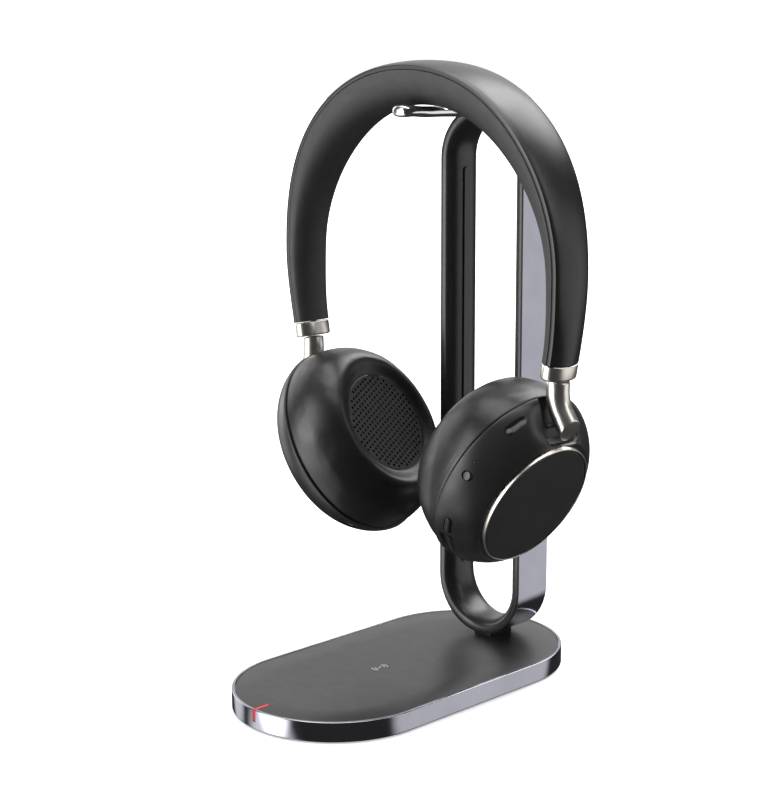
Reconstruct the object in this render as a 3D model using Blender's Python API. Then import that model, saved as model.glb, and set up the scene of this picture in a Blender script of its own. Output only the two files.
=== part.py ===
"""Office headset hanging on its wireless charging stand.

Metres, +Z up.  The origin is the middle of the stand's underside.  X runs from
ear to ear, -Y is the front, where a phone lies on the charging pad.
"""
import math

import bmesh
import bpy
from mathutils import Matrix, Vector

MM = 0.001
GAP = 0.3 * MM

# Charging base: a flat plate with round ends
BASE_HALF_WIDTH = 42.0 * MM
BASE_STRAIGHT = 74.7 * MM
BASE_HEIGHT = 8.6 * MM
RIM_WALL = 2.2 * MM
RIM_LIP = 1.2 * MM
BASE_TIP = BASE_STRAIGHT / 2 + BASE_HALF_WIDTH
COIL_CENTRE_Y = -11.5 * MM
LIGHT_X = -1.9 * MM
BOLT_Y = (51.5 * MM, 59.5 * MM)

# Upright: a tall loop of flat band with a bulging liner
UPRIGHT_HALF_WIDTH = 22.9 * MM
UPRIGHT_FRONT = 46.2 * MM
UPRIGHT_DEPTH = 18.8 * MM
UPRIGHT_BOTTOM = 10.0 * MM
UPRIGHT_TOP = 236.0 * MM
UPRIGHT_BAND = 1.2 * MM
LINER_BULGE = 4.6 * MM
STRIP_HALF_WIDTH = 1.6 * MM

# Headband: its outer corner line is half a superellipse on slightly closing arms
MID_Y = 15.1 * MM
BAND_HALF_WIDTH = 75.8 * MM
BAND_SPRING_Z = 174.3 * MM
BAND_RISE = 79.0 * MM
BAND_POWER = 2.1
BAND_CLOSING = 3.048
BAND_END_Z = 142.0 * MM
GROOVE_FLOOR = -6.6 * MM

# Arm: round tube that leaves the collar and bends outwards to the cup's pivot
TUBE_HALF = (4.55 * MM, 4.6 * MM)
TUBE_OFFSET = -1.8 * MM
TUBE_BEND_RADIUS = 17.0 * MM
TUBE_START_ANGLE = math.radians(-3)
TUBE_END_ANGLE = math.radians(34)
TUBE_NECK = 3.0 * MM
COLLAR_HEIGHT = 6.4 * MM
TUBE_GAP = 1.0 * MM
STEM_RADIUS = 1.2 * MM
STEM_OFFSET = -3.5 * MM
STEM_LENGTH = 36.0 * MM
STEM_LEAN = math.radians(6)
SHOE_SIZE = (3.5 * MM, 6.0 * MM, 4.0 * MM)

# Ear cup: local X is the outward normal, Y the front-back axis, Z upwards in the cup
PIVOT = Vector((70.83 * MM, 15.1 * MM, 118.42 * MM))
PIN_RADIUS = 0.8 * MM
PIN_HALF_LENGTH = 8.0 * MM
CUP_CENTRE = Vector((44.25 * MM, 15.3 * MM, 93.3 * MM))
CUP_TILT = math.radians(30.3)
CUP_YAW = math.radians(4.2)
CUP_ROLL = math.radians(6.65)
SEAM_HALF = (35.4 * MM, 41.3 * MM)
CAP_HALF = (22.8 * MM, 27.7 * MM)
SHELL_DEPTH = 17.8 * MM
SHELL_POWER = 1.6
CUSHION_DEPTH = 23.7 * MM
CUSHION_START = 2.6 * MM
CUSHION_FULL = 0.975
CUSHION_CREST = 0.61
CUSHION_POWER = 2.1
SCREEN_HALF = (20.0 * MM, 21.4 * MM)
SCREEN_DEPTH = 22.3 * MM
DRIVER_RADIUS = 16.5 * MM
POWER_TRAVEL = 6.6 * MM
KEY_DEPTH = 3.4 * MM
BAFFLE_BORE = DRIVER_RADIUS + 0.5 * MM

ROUND = 24
CUP_POINTS = 36


# ---------------------------------------------------------------- helpers
def clear_scene():
    for old in list(bpy.data.objects):
        bpy.data.objects.remove(old, do_unlink=True)


def material(name, colour, roughness, metallic=0.0):
    made = bpy.data.materials.get(name)
    if made:
        return made
    made = bpy.data.materials.new(name)
    made.use_nodes = True
    shader = made.node_tree.nodes["Principled BSDF"]
    shader.inputs["Base Color"].default_value = (*colour, 1.0)
    shader.inputs["Roughness"].default_value = roughness
    shader.inputs["Metallic"].default_value = metallic
    return made


def add_object(name, verts, faces, finish, matrix=None, joint=None):
    """Make a closed body; joint is the axis point of the empty that carries it."""
    mesh = bpy.data.meshes.new(name)
    mesh.from_pydata([tuple(v) for v in verts], [], faces)
    build = bmesh.new()
    build.from_mesh(mesh)
    bmesh.ops.remove_doubles(build, verts=build.verts, dist=1e-7)
    bmesh.ops.recalc_face_normals(build, faces=build.faces)
    build.to_mesh(mesh)
    build.free()
    mesh.shade_smooth()
    mesh.set_sharp_from_angle(angle=math.radians(40))
    mesh.materials.append(material(name + "_finish", *finish))
    made = bpy.data.objects.new(name, mesh)
    bpy.context.scene.collection.objects.link(made)
    if matrix is not None:
        made.matrix_world = matrix
    if joint is not None:
        made.parent = joint
        made.matrix_parent_inverse = Matrix.Translation(-joint.location)
    return made


def joint_empty(name, place):
    made = bpy.data.objects.new(name, None)
    made.location = place
    bpy.context.scene.collection.objects.link(made)
    return made


def loft(name, rings, finish, closed=False, matrix=None, joint=None):
    """Skin a list of rings of equal length; open lofts get flat end caps."""
    count = len(rings[0])
    verts = [p for ring in rings for p in ring]
    faces = []
    spans = len(rings) if closed else len(rings) - 1
    for i in range(spans):
        a = i * count
        b = ((i + 1) % len(rings)) * count
        for j in range(count):
            k = (j + 1) % count
            faces.append((a + j, a + k, b + k, b + j))
    if not closed:
        faces.append(tuple(range(count)))
        faces.append(tuple((len(rings) - 1) * count + j for j in range(count)))
    return add_object(name, verts, faces, finish, matrix, joint)


def stadium(offset, z, arc=ROUND):
    """Outline of the base plate, moved outwards by offset."""
    radius = BASE_HALF_WIDTH + offset
    points = []
    for end in (1, -1):
        for i in range(arc + 1):
            angle = math.pi * i / arc
            x = end * radius * math.cos(angle)
            y = end * (BASE_STRAIGHT / 2 + radius * math.sin(angle))
            points.append((x, y, z))
    return points


def plate(name, offset, low, high, finish, edge=0.0):
    """A flat plate with the base's outline and an optional edge bevel."""
    rings = [stadium(offset, low), stadium(offset, high - edge)]
    if edge:
        rings.append(stadium(offset - edge, high))
    return loft(name, rings, finish)


def box_verts(low, high):
    return [(x, y, z) for x in (low[0], high[0]) for y in (low[1], high[1]) for z in (low[2], high[2])]


BOX_FACES = [(0, 1, 3, 2), (4, 6, 7, 5), (0, 4, 5, 1), (2, 3, 7, 6), (0, 2, 6, 4), (1, 5, 7, 3)]


def box(name, low, high, finish, matrix=None, joint=None):
    return add_object(name, box_verts(low, high), BOX_FACES, finish, matrix, joint)


def ellipse(half_y, half_z, x, count=CUP_POINTS, centre_z=0.0):
    """Ring in the local YZ plane at the given X."""
    ring = []
    for i in range(count):
        angle = 2 * math.pi * i / count
        ring.append((x, half_y * math.cos(angle), centre_z + half_z * math.sin(angle)))
    return ring


def cylinder(name, radius, start, end, finish, count=16, matrix=None, joint=None):
    """Round bar between two points."""
    start = Vector(start)
    axis = Vector(end) - start
    side = axis.orthogonal().normalized()
    other = axis.normalized().cross(side)
    rings = []
    for base in (start, start + axis):
        ring = []
        for i in range(count):
            angle = 2 * math.pi * i / count
            ring.append(base + radius * (math.cos(angle) * side + math.sin(angle) * other))
        rings.append(ring)
    return loft(name, rings, finish, matrix=matrix, joint=joint)


CUTTER = ((1.0, 0.2, 0.2), 0.5, 0.0)


def cut(target, cutter):
    """Subtract a guide body from a solid."""
    cutter.hide_render = True
    cutter.display_type = "WIRE"
    step = target.modifiers.new(cutter.name, "BOOLEAN")
    step.operation = "DIFFERENCE"
    step.object = cutter


# ---------------------------------------------------------------- finishes
GUNMETAL = ((0.30, 0.30, 0.33), 0.14, 1.0)
BLACK_SATIN = ((0.022, 0.022, 0.023), 0.42, 0.0)
BLACK_GLOSS = ((0.015, 0.015, 0.016), 0.2, 0.0)
BLACK_LEATHER = ((0.02, 0.02, 0.02), 0.5, 0.0)
NICKEL = ((0.62, 0.60, 0.57), 0.28, 1.0)
CHROME = ((0.85, 0.85, 0.86), 0.06, 1.0)
STEEL = ((0.55, 0.56, 0.58), 0.3, 1.0)
RUBBER = ((0.03, 0.03, 0.03), 0.85, 0.0)
COPPER = ((0.75, 0.38, 0.2), 0.3, 1.0)
BOARD = ((0.02, 0.16, 0.07), 0.5, 0.0)
RED_LIGHT = ((0.8, 0.02, 0.02), 0.3, 0.0)
CLOTH = ((0.035, 0.035, 0.036), 0.9, 0.0)


# ---------------------------------------------------------------- stand
def base_rim():
    profile = (
        (-0.3 * MM, 0.5 * MM),
        (0.0, 0.8 * MM),
        (0.0, BASE_HEIGHT - 0.35 * MM),
        (-0.35 * MM, BASE_HEIGHT),
        (-RIM_LIP, BASE_HEIGHT),
        (-RIM_LIP, 7.3 * MM),
        (-RIM_WALL, 7.3 * MM),
        (-RIM_WALL, 0.5 * MM),
    )
    rings = [stadium(offset, z) for offset, z in profile]
    rim = loft("base_rim", rings, GUNMETAL, closed=True)
    port = box("cut_port", (-4.9 * MM, 74 * MM, 2.7 * MM), (4.9 * MM, 84 * MM, 6.4 * MM), CUTTER)
    cut(rim, port)
    slot = light_outline("cut_light", 1.1 * MM, GAP, 6 * MM)
    cut(rim, slot)
    return rim, slot


def light_outline(name, half_width, grow, reach, finish=CUTTER):
    """L-shaped bar that runs along the top and turns down over the front edge."""
    front = -BASE_TIP + 0.05 * MM - reach
    outline = (
        (front, BASE_HEIGHT + reach),
        (front, 4.0 * MM - grow),
        (-78.3 * MM + grow, 4.0 * MM - grow),
        (-78.3 * MM + grow, 7.9 * MM - grow),
        (-71.7 * MM + grow, 7.9 * MM - grow),
        (-71.7 * MM + grow, BASE_HEIGHT + reach),
    )
    rings = [[(LIGHT_X + side * half_width, y, z) for y, z in outline] for side in (-1, 1)]
    return loft(name, rings, finish)


def base_insides():
    loft("foot_pad", [stadium(-4 * MM, 0.0), stadium(-4 * MM, 0.6 * MM)], RUBBER)
    plate("bottom_cover", -2.6 * MM, 0.9 * MM, 2.3 * MM, BLACK_SATIN)
    ballast = box("ballast_plate", (-28 * MM, 14 * MM, 2.6 * MM), (28 * MM, 62 * MM, 4.3 * MM), STEEL)
    box("stand_circuit_board", (-24 * MM, -30 * MM, 2.7 * MM), (24 * MM, 9 * MM, 4.2 * MM), BOARD)
    chassis = plate("chassis_plate", -2.6 * MM, 4.6 * MM, 5.6 * MM, STEEL)
    bay = box("cut_bay", (-8 * MM, 68 * MM, 4 * MM), (8 * MM, 84 * MM, 6 * MM), CUTTER)
    cut(chassis, bay)
    for name, radii, low, high, finish in (
        ("ferrite_sheet", (4 * MM, 26 * MM), 5.9 * MM, 6.3 * MM, RUBBER),
        ("charging_coil", (10 * MM, 24 * MM), 6.6 * MM, 7.4 * MM, COPPER),
    ):
        rings = []
        for radius, z in ((radii[1], low), (radii[1], high), (radii[0], high), (radii[0], low)):
            ring = []
            for i in range(32):
                angle = math.pi * i / 16
                ring.append((radius * math.cos(angle), COIL_CENTRE_Y + radius * math.sin(angle), z))
            rings.append(ring)
        loft(name, rings, finish, closed=True)
    socket = box("stand_usb_socket", (-4.5 * MM, 69 * MM, 3.0 * MM), (4.5 * MM, 78.6 * MM, 6.1 * MM), STEEL)
    mouth = box("cut_socket", (-3.9 * MM, 71 * MM, 3.6 * MM), (3.9 * MM, 84 * MM, 5.5 * MM), CUTTER)
    cut(socket, mouth)
    return ballast, chassis


def loop_outline(inset, y, arc=16):
    """The upright's tall outline in a plane of constant Y."""
    radius = UPRIGHT_HALF_WIDTH - inset
    high = UPRIGHT_TOP - UPRIGHT_HALF_WIDTH
    low = UPRIGHT_BOTTOM + UPRIGHT_HALF_WIDTH
    points = []
    for centre, sign in ((high, 1), (low, -1)):
        for i in range(arc + 1):
            angle = math.pi * i / arc
            points.append((sign * radius * math.cos(angle), y, centre + sign * radius * math.sin(angle)))
    return points


def upright():
    back = UPRIGHT_FRONT + UPRIGHT_DEPTH
    corners = ((0.0, UPRIGHT_FRONT), (0.0, back), (UPRIGHT_BAND, back), (UPRIGHT_BAND, UPRIGHT_FRONT))
    band = loft("upright_band", [loop_outline(inset, y) for inset, y in corners], GUNMETAL, closed=True)
    start = UPRIGHT_BAND + GAP
    half = UPRIGHT_DEPTH / 2 - 0.1 * MM
    middle = UPRIGHT_FRONT + UPRIGHT_DEPTH / 2
    rings = []
    for i in range(9):
        angle = math.pi * i / 8
        inset = start + LINER_BULGE * math.sin(angle)
        rings.append(loop_outline(inset, middle + half * math.cos(angle)))
    liner = loft("upright_liner", rings, BLACK_SATIN, closed=True)
    for side, name in ((-1, "liner_strip_left"), (1, "liner_strip_right")):
        inner = UPRIGHT_HALF_WIDTH - start - LINER_BULGE - GAP
        rings = []
        for depth in (0.0, 0.4 * MM):
            ring = []
            for centre, sign in ((208 * MM, 1), (38 * MM, -1)):
                for i in range(7):
                    angle = math.pi * i / 6
                    y = middle + sign * STRIP_HALF_WIDTH * math.cos(angle)
                    z = centre + sign * STRIP_HALF_WIDTH * math.sin(angle)
                    ring.append((side * (inner - depth), y, z))
            rings.append(ring)
        loft(name, rings, BLACK_GLOSS)
    return band, liner


def pedestal():
    """Low saddle between the flat base and the upright's round lower end."""
    rings = []
    radius = UPRIGHT_HALF_WIDTH + GAP
    centre = UPRIGHT_BOTTOM + UPRIGHT_HALF_WIDTH
    for i in range(11):
        x = (i - 5) * 2.0 * MM
        top = centre - math.sqrt(radius ** 2 - x ** 2)
        low = BASE_HEIGHT + 0.2 * MM
        rings.append([(x, 48 * MM, low), (x, 63.2 * MM, low), (x, 63.2 * MM, top), (x, 48 * MM, top)])
    return loft("pedestal", rings, BLACK_SATIN)


def hook():
    """Flattened bar, pinched and dipped where the headband rests."""
    stations = (
        (-3.2, 235.3, 4.6, 0.7),
        (-2.4, 235.3, 6.0, 1.4),
        (0.0, 235.2, 6.9, 1.7),
        (6.0, 234.9, 6.8, 1.8),
        (12.0, 234.4, 5.7, 2.1),
        (19.0, 234.4, 5.7, 2.1),
        (27.0, 234.2, 6.6, 1.9),
        (36.0, 233.6, 7.0, 1.8),
        (45.9, 232.8, 7.0, 2.0),
    )
    rings = []
    for y, z, half_x, half_z in stations:
        ring = []
        for i in range(16):
            angle = math.pi * i / 8
            x = half_x * math.copysign(abs(math.cos(angle)) ** 0.8, math.cos(angle))
            rise = half_z * math.copysign(abs(math.sin(angle)) ** 0.8, math.sin(angle))
            ring.append((x * MM, y * MM, (z + rise) * MM))
        rings.append(ring)
    loft("hook", rings, CHROME)


def stand():
    rim, slot = base_rim()
    top_pad = plate("top_pad", -RIM_LIP - GAP, 7.7 * MM, BASE_HEIGHT - 0.1 * MM, BLACK_SATIN, 0.15 * MM)
    cut(top_pad, slot)
    light_outline("status_light", 0.8 * MM, 0.0, 0.0, RED_LIGHT)
    ballast, chassis = base_insides()
    band, liner = upright()
    saddle = pedestal()
    hook()
    for name, y in (("bolt_front", BOLT_Y[0]), ("bolt_rear", BOLT_Y[1])):
        radii = ((2.8, 2.6), (2.8, 4.2), (1.5, 4.2), (1.5, 13.0))
        rings = []
        for radius, z in radii:
            ring = []
            for i in range(14):
                angle = math.pi * i / 7
                ring.append((radius * MM * math.cos(angle), y + radius * MM * math.sin(angle), z * MM))
            rings.append(ring)
        loft(name, rings, STEEL)
        head = cylinder("cut_head_" + name, 3.1 * MM, (0, y, 2 * MM), (0, y, 4.5 * MM), CUTTER)
        cut(ballast, head)
        shaft = cylinder("cut_shaft_" + name, 1.8 * MM, (0, y, 4.4 * MM), (0, y, 13.4 * MM), CUTTER)
        for target in (chassis, top_pad, saddle, band, liner):
            cut(target, shaft)


# ---------------------------------------------------------------- headband
def smooth_step(value):
    value = min(max(value, 0.0), 1.0)
    return value * value * (3 - 2 * value)


def band_path():
    """Corner line from the left arm's end over the top to the right arm's end."""
    right = []
    for i in range(6):
        z = BAND_END_Z + (BAND_SPRING_Z - BAND_END_Z) * i / 6
        right.append((BAND_HALF_WIDTH - BAND_CLOSING * (BAND_SPRING_Z - z) ** 2, z))
    for i in range(15):
        angle = math.pi / 2 * i / 14
        x = BAND_HALF_WIDTH * max(math.cos(angle), 0.0) ** (2 / BAND_POWER)
        right.append((x, BAND_SPRING_Z + BAND_RISE * math.sin(angle) ** (2 / BAND_POWER)))
    left = [(-x, z) for x, z in right[:-1]]
    return left + right[::-1]


def band_frames():
    """Position, outward normal and height factor at each station of the headband."""
    path = band_path()
    frames = []
    for i, (x, z) in enumerate(path):
        before = path[max(i - 1, 0)]
        after = path[min(i + 1, len(path) - 1)]
        along = Vector((after[0] - before[0], 0.0, after[1] - before[1])).normalized()
        outward = Vector((-along.z, 0.0, along.x))
        frames.append((Vector((x, MID_Y, z)), outward, z))
    return frames


def band_shape(z):
    """Half width, crown height and padding depth at a height."""
    upper = smooth_step((z - 175 * MM) / (70 * MM))
    lower = smooth_step((175 * MM - z) / (33 * MM))
    half_width = (9.7 + 3.3 * upper - 1.1 * lower) * MM
    crown = (1.3 + 1.3 * lower) * MM
    depth = (8.6 + 7.7 * smooth_step((z - 165 * MM) / (88 * MM)) - 1.2 * lower) * MM
    return half_width, crown, depth


def band_ring(frame, outline):
    place, outward, _ = frame
    return [place + Vector((0.0, across, 0.0)) + outward * up for across, up in outline]


def headband():
    cover_rings = []
    pad_rings = []
    spring_rings = []
    for frame in band_frames():
        half, crown, depth = band_shape(frame[2])
        outer = []
        for i in range(7):
            across = half * (1 - i / 3)
            outer.append((across, crown * (1 - (across / half) ** 2)))
        lip = half - 1.2 * MM
        inner = [(-half, -1.9 * MM), (-lip, -1.9 * MM), (-lip, -0.4 * MM)]
        inner += [(lip, -0.4 * MM), (lip, -1.9 * MM), (half, -1.9 * MM)]
        cover_rings.append(band_ring(frame, outer + inner))
        pad = []
        for i in range(11):
            angle = math.pi * i / 10
            pad.append((half * math.cos(angle), -2.2 * MM - (depth - 2.2 * MM) * math.sin(angle)))
        tongue = half - 1.5 * MM
        groove = 3.4 * MM
        pad += [(-tongue, -2.2 * MM), (-tongue, -0.7 * MM), (-groove, -0.7 * MM), (-groove, GROOVE_FLOOR)]
        pad += [(groove, GROOVE_FLOOR), (groove, -0.7 * MM), (tongue, -0.7 * MM), (tongue, -2.2 * MM)]
        pad_rings.append(band_ring(frame, pad))
        if frame[2] > 180 * MM:
            half_strip = 3.1 * MM
            strip = [(-half_strip, -1.9 * MM), (half_strip, -1.9 * MM)]
            strip += [(half_strip, -1.1 * MM), (-half_strip, -1.1 * MM)]
            spring_rings.append(band_ring(frame, strip))
    loft("headband_cover", cover_rings, BLACK_SATIN)
    loft("headband_padding", pad_rings, BLACK_LEATHER)
    loft("headband_spring", spring_rings, STEEL)


def arm_frame(side):
    """End of the headband's arm: corner point, downward direction, outward normal."""
    path = band_path()
    end = path[0] if side < 0 else path[-1]
    inner = path[1] if side < 0 else path[-2]
    down = Vector((end[0] - inner[0], 0.0, end[1] - inner[1])).normalized()
    outward = Vector((-down.z * side, 0.0, down.x * side))
    return Vector((end[0], MID_Y, end[1])), down, outward


def stem_axis(side):
    """Start point at the headband's end and the direction in which the arm slides out."""
    corner, _, outward = arm_frame(side)
    return corner + outward * STEM_OFFSET, Vector((-side * math.sin(STEM_LEAN), 0.0, -math.cos(STEM_LEAN)))


def collar(side, name):
    corner, down, outward = arm_frame(side)
    rings = []
    for distance, inset in ((GAP, 0.25), (0.6 * MM, 0.0), (5.2 * MM, 0.0), (COLLAR_HEIGHT, 1.0)):
        ring = []
        for i in range(28):
            angle = 2 * math.pi * i / 28
            across = (8.5 * MM - inset * MM) * math.copysign(abs(math.cos(angle)) ** 0.9, math.cos(angle))
            up = (5.2 * MM - inset * MM) * math.copysign(abs(math.sin(angle)) ** 0.9, math.sin(angle))
            ring.append(corner + down * distance + outward * (up - 2.2 * MM) + Vector((0, across, 0)))
        rings.append(ring)
    made = loft(name, rings, NICKEL)
    start, slide = stem_axis(side)
    ends = (start - slide * 3 * MM, start + slide * 9 * MM)
    hole = cylinder("cut_" + name, STEM_RADIUS + 0.5 * MM, *ends, CUTTER)
    cut(made, hole)


def tube_rings(side):
    """Rings of the arm tube, from the collar to the oblique end face on the cup."""
    corner, down, outward = arm_frame(side)
    place = corner + outward * TUBE_OFFSET + down * (COLLAR_HEIGHT + TUBE_GAP)
    start_angle = TUBE_START_ANGLE
    stations = [(place, math.atan2(side * down.x, -down.z))]
    place = place + Vector((side * math.sin(start_angle), 0.0, -math.cos(start_angle))) * TUBE_NECK
    stations.append((place, start_angle))
    steps = 8
    for i in range(1, steps + 1):
        angle = start_angle + (TUBE_END_ANGLE - start_angle) * i / steps
        shift_x = TUBE_BEND_RADIUS * (math.cos(start_angle) - math.cos(angle))
        shift_z = -TUBE_BEND_RADIUS * (math.sin(angle) - math.sin(start_angle))
        stations.append((place + Vector((side * shift_x, 0.0, shift_z)), angle))
    rings = []
    for centre, angle in stations:
        across = Vector((side * math.cos(angle), 0.0, math.sin(angle)))
        ring = []
        for i in range(16):
            turn = math.pi * i / 8
            sideways = Vector((0, TUBE_HALF[1] * math.sin(turn), 0))
            ring.append(centre + across * TUBE_HALF[0] * math.cos(turn) + sideways)
        rings.append(ring)
    heading = Vector((side * math.sin(TUBE_END_ANGLE), 0.0, -math.cos(TUBE_END_ANGLE)))
    normal = cup_matrix(side).to_3x3() @ Vector((side, 0.0, 0.0))
    face = cup_matrix(side) @ Vector((side * 15.6 * MM, 0.0, 35.6 * MM))
    last = []
    for point in rings[-1]:
        travel = (face - point).dot(normal) / heading.dot(normal)
        last.append(point + heading * travel)
    rings.append(last)
    return rings


def arm(side, word):
    start, slide = stem_axis(side)
    swivel = joint_empty("swivel_" + word, start)
    tube = loft("arm_tube_" + word, tube_rings(side), NICKEL, joint=swivel)
    reach = PIN_HALF_LENGTH + MM
    bore = cylinder("cut_bore_" + word, PIN_RADIUS + GAP, pivot(side, -reach), pivot(side, reach), CUTTER, 12)
    cut(tube, bore)
    low = start + slide * (COLLAR_HEIGHT - 0.2 * MM)
    tip = start - slide * (STEM_LENGTH - COLLAR_HEIGHT)
    cylinder("arm_stem_" + word, STEM_RADIUS, low, tip, STEEL, 12, joint=swivel)
    matrix = Matrix.Translation(tip + slide * 4.0 * MM) @ Matrix.Rotation(side * STEM_LEAN, 4, "Y")
    size = [value / 2 for value in SHOE_SIZE]
    shoe = box("slider_shoe_" + word, [-value for value in size], size, BLACK_SATIN, matrix)
    hole = cylinder("cut_shoe_" + word, STEM_RADIUS + GAP, tip + slide * 9 * MM, tip - slide * 5 * MM, CUTTER, 12)
    cut(shoe, hole)


def pivot(side, across=0.0):
    return Vector((side * PIVOT.x, PIVOT.y + across, PIVOT.z))


# ---------------------------------------------------------------- ear cups
def cup_matrix(side):
    turn = Matrix.Rotation(-side * CUP_YAW, 4, "Z") @ Matrix.Rotation(side * CUP_TILT, 4, "Y")
    turn = turn @ Matrix.Rotation(CUP_ROLL, 4, "X")
    return Matrix.Translation(Vector((side * CUP_CENTRE.x, CUP_CENTRE.y, CUP_CENTRE.z))) @ turn


def shell_half(depth):
    """Half axes of the shell's outer surface at a distance outwards from the seam."""
    share = (max(depth, 0.0) / SHELL_DEPTH) ** SHELL_POWER
    width = (1 - share) ** (1 / SHELL_POWER)
    return [small + (large - small) * width for small, large in zip(CAP_HALF, SEAM_HALF)]


def rim_point(side, degrees, depth, out=0.0):
    """Point on the shell's side wall; 0 degrees is the front, 90 the top."""
    half = shell_half(depth)
    angle = math.radians(degrees)
    return Vector((side * depth, -(half[0] + out) * math.cos(angle), (half[1] + out) * math.sin(angle)))


def rim_normal(side, degrees, depth):
    half = shell_half(depth)
    angle = math.radians(degrees)
    return Vector((0.0, -math.cos(angle) / half[0], math.sin(angle) / half[1])).normalized()


def rim_sector(name, side, start, end, depths, outs, finish, joint=None, steps=10):
    """Curved bar that follows the shell's rim between two angles."""
    rings = []
    for i in range(steps + 1):
        angle = start + (end - start) * i / steps
        ring = []
        corners = (
            (depths[0], outs[0]),
            (depths[1], outs[0]),
            (depths[1], outs[1]),
            (depths[0], outs[1]),
        )
        for depth, out in corners:
            point = rim_point(side, angle, 6 * MM, out)
            ring.append((side * depth, point.y, point.z))
        rings.append(ring)
    return loft(name, rings, finish, matrix=cup_matrix(side), joint=joint)


def shell(side, word, joint):
    rings = [
        ellipse(22.5 * MM, 21 * MM, side * 13.0 * MM, centre_z=-6 * MM),
        ellipse(29.0 * MM, 29 * MM, side * 0.2 * MM, centre_z=-6.5 * MM),
    ]
    for depth in (0.2, 2.5, 5.0, 7.5, 10.0, 12.5, 14.6, 16.3):
        half = shell_half(depth * MM)
        rings.append(ellipse(half[0], half[1], side * depth * MM))
    made = loft("cup_shell_" + word, rings, BLACK_SATIN, matrix=cup_matrix(side), joint=joint)
    pocket = [(20, 29.4), (15.5, 29.4), (13.5, 28), (10, 28), (3, 35.3), (-1.5, 41.8), (-1.5, 62), (20, 62)]
    rings = []
    for across in (-6.6 * MM, 6.6 * MM):
        rings.append([(side * n * MM, across, u * MM) for n, u in pocket])
    upright_frame = Matrix.Translation(Vector((side * CUP_CENTRE.x, MID_Y, CUP_CENTRE.z)))
    upright_frame = upright_frame @ Matrix.Rotation(side * CUP_TILT, 4, "Y")
    notch = loft("cut_notch_" + word, rings, CUTTER, matrix=upright_frame)
    cut(made, notch)
    reach = PIN_HALF_LENGTH + 0.4 * MM
    hole = cylinder("cut_pin_" + word, PIN_RADIUS + GAP, pivot(side, -reach), pivot(side, reach), CUTTER, 12)
    cut(made, hole)
    return made


def cup_trim(side, word, joint):
    outline = (
        (24.4, 29.2, 16.6),
        (24.4, 29.2, 18.1),
        (24.1, 28.9, 18.4),
        (23.7, 28.5, 18.4),
        (23.7, 28.5, 16.6),
    )
    rings = [ellipse(v * MM, u * MM, side * n * MM) for v, u, n in outline]
    loft("trim_ring_" + word, rings, NICKEL, closed=True, matrix=cup_matrix(side), joint=joint)
    outline = ((23.4, 28.2, 16.6), (23.4, 28.2, 18.0), (23.1, 27.9, 18.2))
    rings = [ellipse(v * MM, u * MM, side * n * MM) for v, u, n in outline]
    loft("outer_cap_" + word, rings, BLACK_SATIN, matrix=cup_matrix(side), joint=joint)


def cup_insides(side, word, joint):
    rings = [ellipse(32.5 * MM, 38.4 * MM, side * n * MM) for n in (-0.2, -2.2)]
    rings += [ellipse(BAFFLE_BORE, BAFFLE_BORE, side * n * MM) for n in (-2.2, -0.2)]
    loft("baffle_" + word, rings, BLACK_SATIN, closed=True, matrix=cup_matrix(side), joint=joint)
    outline = ((0.61, 6.0), (1.0, 4.0), (1.0, -6.0), (0.91, -7.5))
    rings = [ellipse(share * DRIVER_RADIUS, share * DRIVER_RADIUS, side * n * MM, 24) for share, n in outline]
    loft("speaker_driver_" + word, rings, STEEL, matrix=cup_matrix(side), joint=joint)
    ends = (pivot(side, -PIN_HALF_LENGTH), pivot(side, PIN_HALF_LENGTH))
    cylinder("pivot_pin_" + word, PIN_RADIUS, *ends, STEEL, 12, joint=joint)


def cushion(side, word, joint):
    inner = [value + 0.8 * MM for value in SCREEN_HALF]
    rings = [ellipse(*inner, -side * CUSHION_START), ellipse(*inner, -side * (CUSHION_DEPTH - 1.2 * MM))]
    for i in range(9):
        angle = math.pi / 2 * (8 - i) / 8
        level = CUSHION_START + (CUSHION_DEPTH - CUSHION_START) * math.sin(angle) ** (2 / CUSHION_POWER)
        scale = CUSHION_CREST + (CUSHION_FULL - CUSHION_CREST) * math.cos(angle) ** (2 / CUSHION_POWER)
        rings.append(ellipse(SEAM_HALF[0] * scale, SEAM_HALF[1] * scale, -side * level))
    loft("ear_cushion_" + word, rings, BLACK_LEATHER, closed=True, matrix=cup_matrix(side), joint=joint)
    rings = []
    for n in (-SCREEN_DEPTH, -SCREEN_DEPTH + 0.9 * MM):
        rings.append(ellipse(SCREEN_HALF[0] + 0.4 * MM, SCREEN_HALF[1] + 0.4 * MM, side * n))
    loft("ear_screen_" + word, rings, CLOTH, matrix=cup_matrix(side), joint=joint)


def round_key(name, side, body, degrees, depth, radius, joint, travel):
    """Round piece set in a blind hole of the shell's side wall."""
    place = rim_point(side, degrees, depth)
    out = rim_normal(side, degrees, depth)
    matrix = cup_matrix(side)
    ends = (place - out * KEY_DEPTH, place + out * 3 * MM)
    hole = cylinder("cut_" + name, radius + GAP, *ends, CUTTER, 20, matrix)
    cut(body, hole)
    start = place - out * (KEY_DEPTH - travel - GAP)
    cylinder(name, radius, start, place + out * 0.15 * MM, BLACK_GLOSS, 20, matrix, joint)


def slot_cutter(name, side, degrees, depth, half_length, half_width, deep):
    """Round-ended slot across the rim, for keys, ports and switches."""
    place = rim_point(side, degrees, depth)
    out = rim_normal(side, degrees, depth)
    along = Vector((1.0, 0.0, 0.0)).cross(out)
    rings = []
    for level in (-deep, 3 * MM):
        middle = place + out * level
        rings.append([middle + along * a + Vector((b, 0, 0)) for a, b in slot_ring(half_length, half_width)])
    return loft(name, rings, CUTTER, matrix=cup_matrix(side))


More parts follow.
